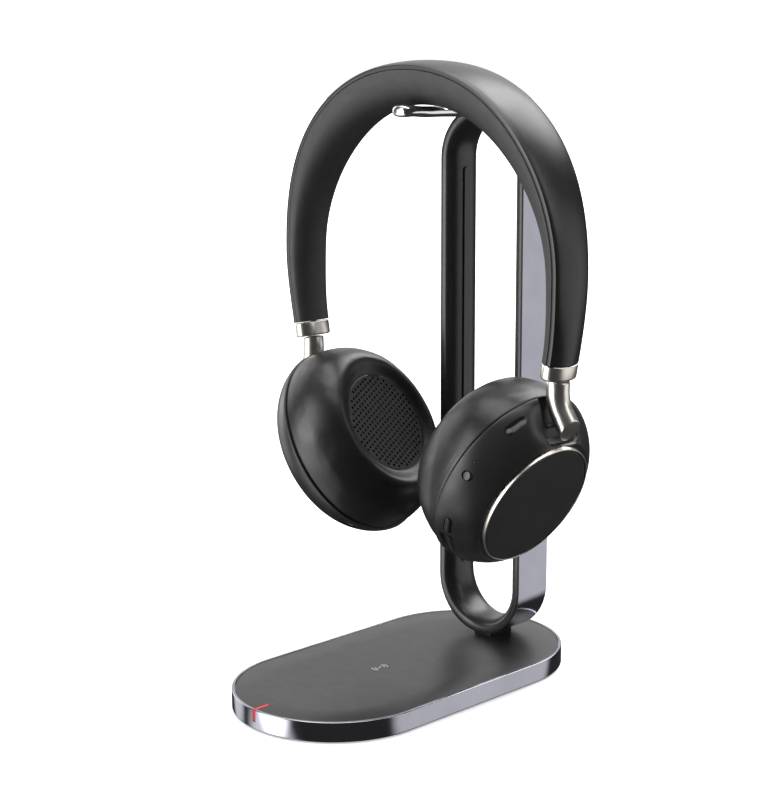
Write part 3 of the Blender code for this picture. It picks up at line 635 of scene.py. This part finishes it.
def collar(side, word):
    corner, down, outward = arm_frame(side)
    rings = []
    profile = (
        (0.3, 0.45), (0.42, 0.2), (0.62, 0.05), (0.9, 0.0), (5.3, 0.0), (5.75, 0.08), (6.1, 0.3),
        (6.32, 0.62), (6.4, 1.0), (6.4, 2.0),
    )
    for distance, inset in profile:
        ring = []
        for i in range(72):
            angle = 2 * math.pi * i / 72
            across = (8.5 - inset) * MM * math.copysign(abs(math.cos(angle)) ** 0.9, math.cos(angle))
            up = (5.2 - inset) * MM * math.copysign(abs(math.sin(angle)) ** 0.9, math.sin(angle))
            ring.append(corner + down * distance * MM + outward * (up - 2.2 * MM) + Vector((0, across, 0)))
        rings.append(ring)
    made = loft("collar_ring_" + word, rings, LOOKS["nickel"], "headband", "nickel", ["collar_" + word])
    start = corner + outward * -3.5 * MM
    slide = Vector((-side * math.sin(math.radians(6)), 0.0, -math.cos(math.radians(6))))
    carve(made, [bar("cut_stem_" + word, 1.9 * MM, start - slide * 3 * MM, start + slide * 9 * MM)])


def cup_matrix(side):
    turn = Matrix.Rotation(-side * CUP_YAW, 4, "Z") @ Matrix.Rotation(side * CUP_TILT, 4, "Y")
    turn = turn @ Matrix.Rotation(CUP_ROLL, 4, "X")
    return Matrix.Translation(Vector((side * CUP_CENTRE.x, CUP_CENTRE.y, CUP_CENTRE.z))) @ turn


def arm(side, word):
    corner, down, outward = arm_frame(side)
    place = corner + outward * TUBE_OFFSET + down * (COLLAR_HEIGHT + 0.25 * MM)
    start = TUBE_START_ANGLE
    fall = Vector((side * math.sin(start), 0.0, -math.cos(start)))
    square = math.atan2(side * down.x, -down.z)
    shoulder = ((0.0, 2.2), (0.11, 1.4), (0.25, 0.75), (0.4, 0.35), (0.6, 0.1), (0.85, 0.0))
    stations = [(place + down * distance * MM, square, inset) for distance, inset in shoulder]
    place = place + down * 0.5 * MM + fall * 3.25 * MM
    steps = 30
    for i in range(steps + 1):
        angle = start + (TUBE_END_ANGLE - start) * i / steps
        shift_x = TUBE_BEND_RADIUS * (math.cos(start) - math.cos(angle))
        shift_z = -TUBE_BEND_RADIUS * (math.sin(angle) - math.sin(start))
        stations.append((place + Vector((side * shift_x, 0.0, shift_z)), angle, 0.0))
    heading = Vector((side * math.sin(TUBE_END_ANGLE), 0.0, -math.cos(TUBE_END_ANGLE)))
    normal = cup_matrix(side).to_3x3() @ Vector((side, 0.0, 0.0))
    face = cup_matrix(side) @ Vector((side * 15.6 * MM, 0.0, 35.6 * MM))
    rings = []

    def tube_ring(centre, angle, inset):
        across = Vector((side * math.cos(angle), 0.0, math.sin(angle)))
        ring = []
        for i in range(48):
            turn = 2 * math.pi * i / 48
            wide = (TUBE_HALF[0] - inset * MM) * math.cos(turn)
            deep = (TUBE_HALF[1] - inset * MM) * math.sin(turn)
            ring.append(centre + across * wide + Vector((0, deep, 0)))
        return ring

    for centre, angle, inset in stations:
        rings.append(tube_ring(centre, angle, inset))
    for back, inset in ((0.35, 0.0), (0.15, 0.05), (0.03, 0.18), (0.0, 0.36)):
        last = []
        for point in tube_ring(stations[-1][0], TUBE_END_ANGLE, inset):
            travel = (face - normal * back * MM - point).dot(normal) / heading.dot(normal)
            last.append(point + heading * travel)
        rings.append(last)
    made = loft("arm_bar_" + word, rings, LOOKS["nickel"], "arm_" + word, "nickel", ["arm_tube_" + word])
    pin = Vector((side * PIVOT.x, PIVOT.y, PIVOT.z))
    reach = Vector((0, 9 * MM, 0))
    carve(made, [bar("cut_bore_" + word, 1.1 * MM, pin - reach, pin + reach)])


# ---------------------------------------------------------------- ear cups
def shell_half(depth):
    share = (max(depth, 0.0) / SHELL_DEPTH) ** SHELL_POWER
    width = (1 - share) ** (1 / SHELL_POWER)
    return [small + (large - small) * width for small, large in zip(CAP_HALF, SEAM_HALF)]


def rim_point(side, degrees, depth, out=0.0):
    half = shell_half(depth)
    angle = math.radians(degrees)
    return Vector((side * depth, -(half[0] + out) * math.cos(angle), (half[1] + out) * math.sin(angle)))


def rim_normal(degrees, depth):
    half = shell_half(depth)
    angle = math.radians(degrees)
    return Vector((0.0, -math.cos(angle) / half[0], math.sin(angle) / half[1])).normalized()


POCKET = ((-1.5, 41.8), (3.0, 35.3), (10.0, 28.0), (13.5, 28.0), (15.5, 29.4), (30.0, 29.4))


def pocket_floor(n):
    for (n0, u0), (n1, u1) in zip(POCKET, POCKET[1:]):
        if n <= n1:
            return u0 + (u1 - u0) * (n - n0) / (n1 - n0)
    return POCKET[-1][1]


def sink(side, point, to_upright, back):
    """Press a point of the shell down into the smooth hollow round the arm's end."""
    spot = to_upright @ point
    n, v, u = side * spot.x / MM, spot.y / MM, spot.z / MM
    floor = pocket_floor(n) - 0.1
    if u <= floor:
        return point
    reach = 2.0 + 4.5 * smooth_step((n + 1.0) / 15.0)
    share = 1 - smooth_step((abs(v) - 5.0) / reach)
    soft = 1 - smooth_step((abs(v) - 5.1) / 12.0)
    share = max(share, 0.3 * soft * smooth_step((n - 1.0) / 8.0))
    u = u - (u - floor) * share
    return back @ Vector((spot.x, spot.y, u * MM))


def shell(side, word):
    body = "cup_" + word
    matrix = cup_matrix(side)
    upright = Matrix.Translation(Vector((side * CUP_CENTRE.x, MID_Y, CUP_CENTRE.z)))
    upright = upright @ Matrix.Rotation(side * CUP_TILT, 4, "Y")
    to_upright = upright.inverted() @ matrix
    back = to_upright.inverted()
    count = 400
    rings = []
    for half_y, half_z, depth, drop in ((22.5, 21, 13.0, 6.0), (29, 29, 0.12, 6.5)):
        ring = ellipse(half_y * MM, half_z * MM, side * depth * MM, count)
        rings.append([(x, y, z - drop * MM) for x, y, z in ring])
    rings.append(ellipse(SEAM_HALF[0] - 0.35 * MM, SEAM_HALF[1] - 0.35 * MM, side * 0.12 * MM, count))
    depths = [0.2, 0.35, 0.6] + [1.0 + 15.2 * i / 44 for i in range(45)]
    for depth in depths:
        half = shell_half(depth * MM)
        inset = 0.25 * MM * max(0.0, 1 - (depth - 0.12) / 0.45) ** 2
        rings.append(ellipse(half[0] - inset, half[1] - inset, side * depth * MM, count))
    half = [value / MM for value in shell_half(16.2 * MM)]
    for inset, depth in ((0.5, 16.42), (1.1, 16.5), (6.0, 16.5)):
        rings.append(ellipse((half[0] - inset) * MM, (half[1] - inset) * MM, side * depth * MM, count))
    sunk = rings[:2]
    for ring in rings[2:]:
        sunk.append([sink(side, Vector(p), to_upright, back) for p in ring])
    nodes = ["cup_shell_" + word]
    made = loft("cup_housing_" + word, sunk, LOOKS["satin"], body, "black_satin", nodes, matrix=matrix)
    pin = Vector((side * PIVOT.x, PIVOT.y, PIVOT.z))
    reach = Vector((0, 8.4 * MM, 0))
    cuts = [bar("cut_pin_" + word, 1.1 * MM, pin - reach, pin + reach)]
    cuts += right_cuts(matrix) if side > 0 else left_cuts(matrix)
    carve(made, cuts)


def slot_frame(side, degrees, depth):
    place = rim_point(side, degrees, depth * MM)
    out = rim_normal(degrees, depth * MM)
    return place, out, Vector((1.0, 0.0, 0.0)).cross(out)


def slot_cut(name, side, degrees, depth, half_length, half_width, deep, matrix, flare=0.0):
    place, out, along = slot_frame(side, degrees, depth)
    rings = []
    levels = ((-deep, 0.0), (3.0, 0.0))
    if flare:
        levels = ((-deep, -flare), (-deep + flare, 0.0), (0.0, flare), (3.0, flare))
    for level, grow in levels:
        middle = place + out * level * MM
        outline = slot_outline((half_length + grow) * MM, (half_width + grow) * MM)
        rings.append([middle + along * a + Vector((b, 0, 0)) for a, b in outline])
    return cutter(name, rings, matrix)


def slot_bar(name, side, degrees, depth, size, levels, finish, body, slot, nodes, shift=0.0):
    """Round-ended key with softened outer edges."""
    place, out, along = slot_frame(side, degrees, depth)
    low, high = levels
    rings = []
    edge = ((high - 0.25, 0.0), (high - 0.1, 0.05), (high - 0.02, 0.17), (high, 0.35))
    for level, inset in ((low, 0.0), *edge):
        outline = slot_outline((size[0] - inset) * MM, (size[1] - inset) * MM, 0.0, 12)
        middle = place + out * level * MM
        rings.append([middle + along * (a + shift * MM) + Vector((b, 0, 0)) for a, b in outline])
    return loft(name, rings, finish, body, slot, nodes, False, 50, cup_matrix(side))


def key_cut(name, side, degrees, depth, radius, matrix, deep=3.4):
    place = rim_point(side, degrees, depth * MM)
    out = rim_normal(degrees, depth * MM)
    return bar(name, radius * MM, place - out * deep * MM, place + out * 3 * MM, matrix, 40)


def sector(side, start, end, depths, outs, steps=40):
    rings = []
    for i in range(steps + 1):
        angle = start + (end - start) * i / steps
        ring = []
        for depth, out in ((0, 0), (1, 0), (1, 1), (0, 1)):
            point = rim_point(side, angle, 6 * MM, outs[out] * MM)
            ring.append((side * depths[depth] * MM, point.y, point.z))
        rings.append(ring)
    return rings


def boom_axis(low, high):
    """Two points on the boom's hinge axis, in the right cup's frame."""
    hinge = rim_point(1, -82.0, 6 * MM, -1.75 * MM)
    return Vector((low * MM, hinge.y, hinge.z)), Vector((high * MM, hinge.y, hinge.z))


def right_cuts(matrix):
    return [
        key_cut("cut_call", 1, *CALL_BUTTON, 2.1, matrix),
        key_cut("cut_led", 1, *RIGHT_LIGHT, 0.6, matrix),
        slot_cut("cut_mute", 1, -14.0, 6.6, 4.4, 1.6, 3.4, matrix),
        slot_cut("cut_power", 1, *POWER_SLOT, 5.0, 1.6, 0.75, matrix, 0.35),
        cutter("cut_boom", sector(1, -23.5, -88.0, (3.0, 8.6), (-3.5, 4.0)), matrix),
        bar("cut_boom_end", 3.4 * MM, *boom_axis(3.07, 8.53), matrix, 30),
        bar("cut_boom_pin", MM, *boom_axis(1.4, 10.4), matrix),
    ]


def left_cuts(matrix):
    return [
        slot_cut("cut_cup_port", -1, *CUP_PORT, 4.7, 1.8, 4.2, matrix),
        key_cut("cut_led_left", -1, *LEFT_LIGHT, 0.6, matrix),
    ]


def right_controls():
    matrix = cup_matrix(1)
    for name, node, body, radius, look, where, low in (
        ("call_key", "call_button", "call_button", 1.85, "satin", CALL_BUTTON, -2.3),
        ("led_right", "indicator_right", "cup_right", 0.45, "gloss", RIGHT_LIGHT, -2.8),
    ):
        place = rim_point(1, where[0], where[1] * MM)
        out = rim_normal(where[0], where[1] * MM)
        round_piece(name, place, out, radius, low, matrix, look, body, node)
    satin = LOOKS["satin"]
    slot_bar("mute_bar", 1, -14.0, 6.35, (4.05, 1.2), (-2.4, 0.25), satin, "mute_key", "black_gloss",
             ["mute_key"])
    slot_bar("power_knob", 1, *POWER_SLOT, (1.25, 1.24), (-0.72, -0.05), satin, "power_switch",
             "black_gloss", ["power_switch"], POWER_TRAVEL / 2)
    boom = loft("boom_arm", boom_rings(), satin, "mic_boom", "black_satin", ["mic_boom"], False, 40, matrix)
    pin = bar("cut_pin_boom", MM, *boom_axis(1.4, 10.4), matrix)
    place, out, _ = slot_frame(1, -36.7, 4.9)
    mouth = bar("cut_mouth", 0.32 * MM, place - out * 2.0 * MM, place + out * MM, matrix)
    carve(boom, [pin, mouth])


def boom_rings(steps=48):
    rings = []
    profile = rounded((
        (3.4 * MM, -3.1 * MM, 0.2 * MM), (8.2 * MM, -3.1 * MM, 0.2 * MM), (8.2 * MM, -0.4 * MM, 0.5 * MM),
        (3.4 * MM, -0.4 * MM, 0.5 * MM),
    ), 4)
    for i in range(steps + 1):
        angle = -24.5 - 60.5 * i / steps
        rings.append([(depth, *rim_point(1, angle, 6 * MM, out)[1:]) for depth, out in profile])
    return rings


def round_piece(name, place, out, radius, low, matrix, look, body, node):
    side = out.orthogonal().normalized()
    other = out.cross(side)
    rings = []
    for level, inset in ((low, 0.0), (-0.1, 0.0), (0.05, 0.05), (0.12, 0.15), (0.15, 0.35)):
        scale = radius - inset * min(radius, 1.0)
        turns = [2 * math.pi * i / 40 for i in range(40)]
        rings.append([place + out * level * MM + scale * MM * (math.cos(t) * side + math.sin(t) * other)
                      for t in turns])
    loft(name, rings, LOOKS[look], body, "black_gloss", [node], False, 50, matrix)


def left_controls():
    matrix = cup_matrix(-1)
    port = slot_bar("charge_port", -1, *CUP_PORT, (4.4, 1.5), (-3.9, -0.9), LOOKS["steel"], "cup_left",
                    "steel", ["cup_usb_port"])
    carve(port, [slot_cut("cut_mouth_left", -1, *CUP_PORT, 3.8, 0.95, 3.0, matrix)])
    place = rim_point(-1, LEFT_LIGHT[0], LEFT_LIGHT[1] * MM)
    out = rim_normal(LEFT_LIGHT[0], LEFT_LIGHT[1] * MM)
    round_piece("led_left", place, out, 0.45, -2.8, matrix, "gloss", "cup_left", "indicator_left")


def trim(side, word):
    matrix = cup_matrix(side)
    corners = (
        (24.4, 16.6, 0.0), (24.4, 18.4, 0.45), (23.7, 18.4, 0.2), (23.7, 16.6, 0.0),
    )
    outline = rounded(corners, 6)
    rings = [ellipse(v * MM, (v + 4.8) * MM, side * n * MM) for v, n in outline]
    body = "cup_" + word
    loft("cap_ring_" + word, rings, LOOKS["nickel"], body, "nickel", ["trim_ring_" + word], True, 50, matrix)
    rings = []
    edge = ((23.4, 16.6), (23.4, 17.95), (23.3, 18.12), (23.1, 18.22), (22.8, 18.26))
    for v, n in (*edge, (17.0, 18.32), (10.0, 18.36)):
        rings.append(ellipse(v * MM, (v + 4.8) * MM, side * n * MM))
    nodes = ["outer_cap_" + word]
    loft("cap_face_" + word, rings, LOOKS["cap"], body, "black_satin", nodes, False, 50, matrix)


def cushion(side, word):
    """Leather ring: plump outer roll, shallow dish down to the perforated middle."""
    matrix = cup_matrix(side)
    profile = [(33.0, 38.9, 2.6), (33.0, 38.9, 0.35), (34.15, 40.0, 0.22)]
    profile += [(34.6, 40.45, 0.32), (34.75, 40.6, 0.7), (34.75, 40.6, 1.6)]
    power, crest, full = 1.68, 0.70, 0.98
    for i in range(37):
        angle = math.pi / 2 * i / 36
        level = 2.6 + 21.1 * math.sin(angle) ** (2 / power)
        scale = crest + (full - crest) * math.cos(angle) ** (2 / power)
        profile.append((SEAM_HALF[0] / MM * scale, SEAM_HALF[1] / MM * scale, level))
    inner = (20.05, 21.45)
    top = (SEAM_HALF[0] / MM * crest, SEAM_HALF[1] / MM * crest)
    for i in range(1, 17):
        t = i / 16
        level = 23.7 - 2.5 * smooth_step(t) ** 1.2
        profile.append((top[0] + (inner[0] - top[0]) * t, top[1] + (inner[1] - top[1]) * t, level))
    profile += [(20.0, 21.4, 21.35), (20.0, 21.4, 20.0), (20.8, 22.2, 19.0), (20.8, 22.2, 2.6)]
    rings = []
    for index, (v, u, n) in enumerate(profile):
        ring = []
        for x, y, z in ellipse(v * MM, u * MM, -side * n * MM, 192):
            place = Vector((x, y, z))
            amount = 0.0
            if 5 < index < len(profile) - 4 and n > 3.0:
                soft = noise.noise(place / (9 * MM) + Vector((side * 3.1, 0, 0)))
                fine = noise.noise(place / (3.2 * MM) + Vector((7.7, side, 0)))
                amount = (0.22 * soft + 0.05 * fine) * MM * smooth_step((n - 3.0) / 5)
            outward = Vector((-side * max(0.0, (n - 8) / 16), y / (v * MM), z / (u * MM))).normalized()
            ring.append(place + outward * amount)
        rings.append(ring)
    made = loft("ear_pad_" + word, rings, LOOKS["leather"], "cup_" + word, "black_leather",
                ["ear_cushion_" + word], True, 60, matrix)


def screen(side, word):
    """Perforated middle of the pad, a shallow dished disc with punched holes."""
    matrix = cup_matrix(side)
    half = (19.97, 21.37)
    rings = [ellipse(half[0] * MM, half[1] * MM, -side * 20.2 * MM, 96)]
    for share, level in ((1.0, 21.2), (0.97, 21.14), (0.75, 20.96), (0.5, 20.86), (0.25, 20.82)):
        rings.append(ellipse(half[0] * share * MM, half[1] * share * MM, -side * level * MM, 96))
    made = loft("pad_middle_" + word, rings, LOOKS["mesh"], "cup_" + word, "speaker_cloth",
                ["ear_screen_" + word], False, 50, matrix)
    pitch, radius = 2.12, 0.66
    verts = []
    faces = []
    turn = math.radians(17)
    for i in range(-10, 11):
        for k in range(-11, 12):
            y = pitch * (i * math.cos(turn) - k * math.sin(turn))
            z = pitch * (i * math.sin(turn) + k * math.cos(turn))
            if (y / (half[0] - 0.8)) ** 2 + (z / (half[1] - 0.8)) ** 2 > 1:
                continue
            start = len(verts)
            for n in (20.45, 22.6):
                for j in range(8):
                    angle = 2 * math.pi * j / 8
                    verts.append((-side * n * MM, (y + radius * math.cos(angle)) * MM,
                                  (z + radius * math.sin(angle)) * MM))
            faces.append(tuple(start + j for j in range(8)))
            faces.append(tuple(start + 8 + j for j in range(8)))
            for j in range(8):
                k = (j + 1) % 8
                faces.append((start + j, start + k, start + 8 + k, start + 8 + j))
    # The holes cut into the screen take the near-black hole look on their walls, painted shade inside each
    # hole.
    holes = shape("cut_holes_" + word, verts, faces, LOOKS["hole"], None, None, (), 35, matrix)
    carve(made, [holes])


# ---------------------------------------------------------------- CAD nodes that stay
KEPT = {
    "foot_pad": "rubber", "bottom_cover": "satin", "chassis_plate": "steel", "ballast_plate": "steel",
    "stand_circuit_board": "board", "ferrite_sheet": "rubber", "charging_coil": "copper",
    "stand_usb_socket": "steel", "status_light": "red", "bolt_front": "steel", "bolt_rear": "steel",
    "liner_strip_left": "liner", "liner_strip_right": "liner",
    "headband_spring": "steel", "battery": "steel", "cup_circuit_board": "board", "boom_pin": "steel",
}
for word in ("left", "right"):
    for node, look in (("slider_shoe_", "satin"), ("arm_stem_", "steel"), ("baffle_", "satin"),
                       ("speaker_driver_", "steel"), ("pivot_pin_", "satin")):
        KEPT[node + word] = look


def dress_kept():
    for node, look in KEPT.items():
        slots = NODES[node].material_slots
        if not slots:
            NODES[node].data.materials.append(LOOKS[look])
        for place in slots:
            place.material = LOOKS[look]


# ---------------------------------------------------------------- studio
def floor():
    mesh = bpy.data.meshes.new("floor")
    count = 96
    verts = [(0.0, 0.0, 0.0)]
    for i in range(count):
        angle = 2 * math.pi * i / count
        verts.append((6 * math.cos(angle), 6 * math.sin(angle), 0.0))
    faces = [(0, 1 + i, 1 + (i + 1) % count) for i in range(count)]
    mesh.from_pydata(verts, [], faces)
    made = bpy.data.objects.new("floor", mesh)
    bpy.context.scene.collection.objects.link(made)
    look = Look("pale_floor")
    look.colour(look.ramp(look.noise(3.0), (0.90, 0.90, 0.90), (0.92, 0.92, 0.92)))
    look.set(Roughness=0.9)
    look.shader.inputs["Specular IOR Level"].default_value = 0.1
    look.shader.inputs["Emission Color"].default_value = (1.0, 1.0, 1.0, 1.0)
    far = look.node("ShaderNodeVectorMath", operation="LENGTH")
    look.link(look.place, far.inputs[0])
    glow = look.spread(far.outputs["Value"], FLOOR_GLOW, 1.3, 0.35, 1.1)
    look.link(glow, look.shader.inputs["Emission Strength"])
    dim = look.node("ShaderNodeBsdfDiffuse")
    dim.inputs["Color"].default_value = (FLOOR_BOUNCE, FLOOR_BOUNCE, FLOOR_BOUNCE, 1.0)
    path = look.node("ShaderNodeLightPath")
    clear = look.node("ShaderNodeBsdfTransparent")
    soft = look.node("ShaderNodeMixShader")
    look.link(path.outputs["Is Glossy Ray"], soft.inputs[0])
    look.link(dim.outputs[0], soft.inputs[1])
    look.link(clear.outputs[0], soft.inputs[2])
    mix = look.node("ShaderNodeMixShader")
    look.link(path.outputs["Is Camera Ray"], mix.inputs[0])
    look.link(soft.outputs[0], mix.inputs[1])
    look.link(look.shader.outputs[0], mix.inputs[2])
    look.link(mix.outputs[0], look.tree.nodes["Material Output"].inputs["Surface"])
    mesh.materials.append(look.material)


FLOOR_GLOW = 0.45
FLOOR_BOUNCE = 0.4


def world():
    """Studio surround: white to the eye, with soft bright and dark zones for reflections."""
    made = bpy.data.worlds.new("studio")
    made.use_nodes = True
    bpy.context.scene.world = made
    tree = made.node_tree
    nodes = tree.nodes
    back = nodes["Background"]
    coord = nodes.new("ShaderNodeTexCoord")
    total = None
    for direction, start, end, strength in SKY:
        dot = nodes.new("ShaderNodeVectorMath")
        dot.operation = "DOT_PRODUCT"
        dot.inputs[1].default_value = Vector(direction).normalized()
        tree.links.new(coord.outputs["Generated"], dot.inputs[0])
        lobe = nodes.new("ShaderNodeMapRange")
        lobe.interpolation_type = "SMOOTHSTEP"
        lobe.inputs["From Min"].default_value = start
        lobe.inputs["From Max"].default_value = end
        lobe.inputs["To Max"].default_value = strength
        tree.links.new(dot.outputs["Value"], lobe.inputs["Value"])
        if total is None:
            total = lobe.outputs["Result"]
            continue
        add = nodes.new("ShaderNodeMath")
        add.operation = "ADD"
        tree.links.new(total, add.inputs[0])
        tree.links.new(lobe.outputs["Result"], add.inputs[1])
        total = add.outputs["Value"]
    base = nodes.new("ShaderNodeMath")
    base.operation = "ADD"
    base.inputs[1].default_value = SKY_BASE
    tree.links.new(total, base.inputs[0])
    path = nodes.new("ShaderNodeLightPath")
    mix = nodes.new("ShaderNodeMix")
    mix.data_type = "FLOAT"
    tree.links.new(path.outputs["Is Camera Ray"], mix.inputs["Factor"])
    tree.links.new(base.outputs["Value"], mix.inputs["A"])
    mix.inputs["B"].default_value = SKY_SEEN
    tree.links.new(mix.outputs["Result"], back.inputs["Strength"])
    back.inputs["Color"].default_value = (1.0, 1.0, 1.0, 1.0)


SKY_BASE = 0.04
SKY_SEEN = 1.05
SKY = (
    ((-0.42, -0.90, -0.12), 0.90, 0.97, 3.0),
    ((0.70, 0.70, -0.15), 0.86, 0.95, 0.95),
    ((-0.66, 0.66, 0.36), 0.80, 0.97, 0.85),
    ((-0.05, 0.72, 0.69), 0.92, 0.98, 5.0),
    ((-0.15, 0.1, 1.0), 0.60, 0.97, 0.7),
    ((-0.95, -0.05, 0.25), 0.88, 0.98, 2.0),
    ((-0.98, -0.03, -0.18), 0.94, 0.985, 1.1),
    ((-0.45, -0.68, -0.60), 0.82, 0.96, 1.5),
)


def lamp(name, place, target, size, power, size_y=None):
    data = bpy.data.lights.new(name, "AREA")
    data.shape = "RECTANGLE"
    data.size = size
    data.size_y = size_y or size
    data.energy = power
    made = bpy.data.objects.new(name, data)
    made.location = place
    aim = Vector(target) - Vector(place)
    made.rotation_euler = aim.to_track_quat("-Z", "Y").to_euler()
    bpy.context.scene.collection.objects.link(made)


def studio():
    bpy.context.scene.view_settings.view_transform = "Standard"
    floor()
    world()
    lamp("top_box", (-0.1, 0.1, 1.5), (0, 0, 0.1), 1.4, 20.0)
    lamp("left_box", (-0.55, -1.1, 0.5), (0, 0, 0.14), 0.5, 6.5, 0.9)
    lamp("right_box", (1.2, 0.5, 0.9), (0, 0, 0.14), 0.5, 3.0, 1.0)


# ---------------------------------------------------------------- build
camera()
studio()
LOOKS = make_materials()
stand()
headband()
for side, word in ((-1, "left"), (1, "right")):
    collar(side, word)
    arm(side, word)
    shell(side, word)
    trim(side, word)
    cushion(side, word)
    screen(side, word)
right_controls()
left_controls()
dress_kept()
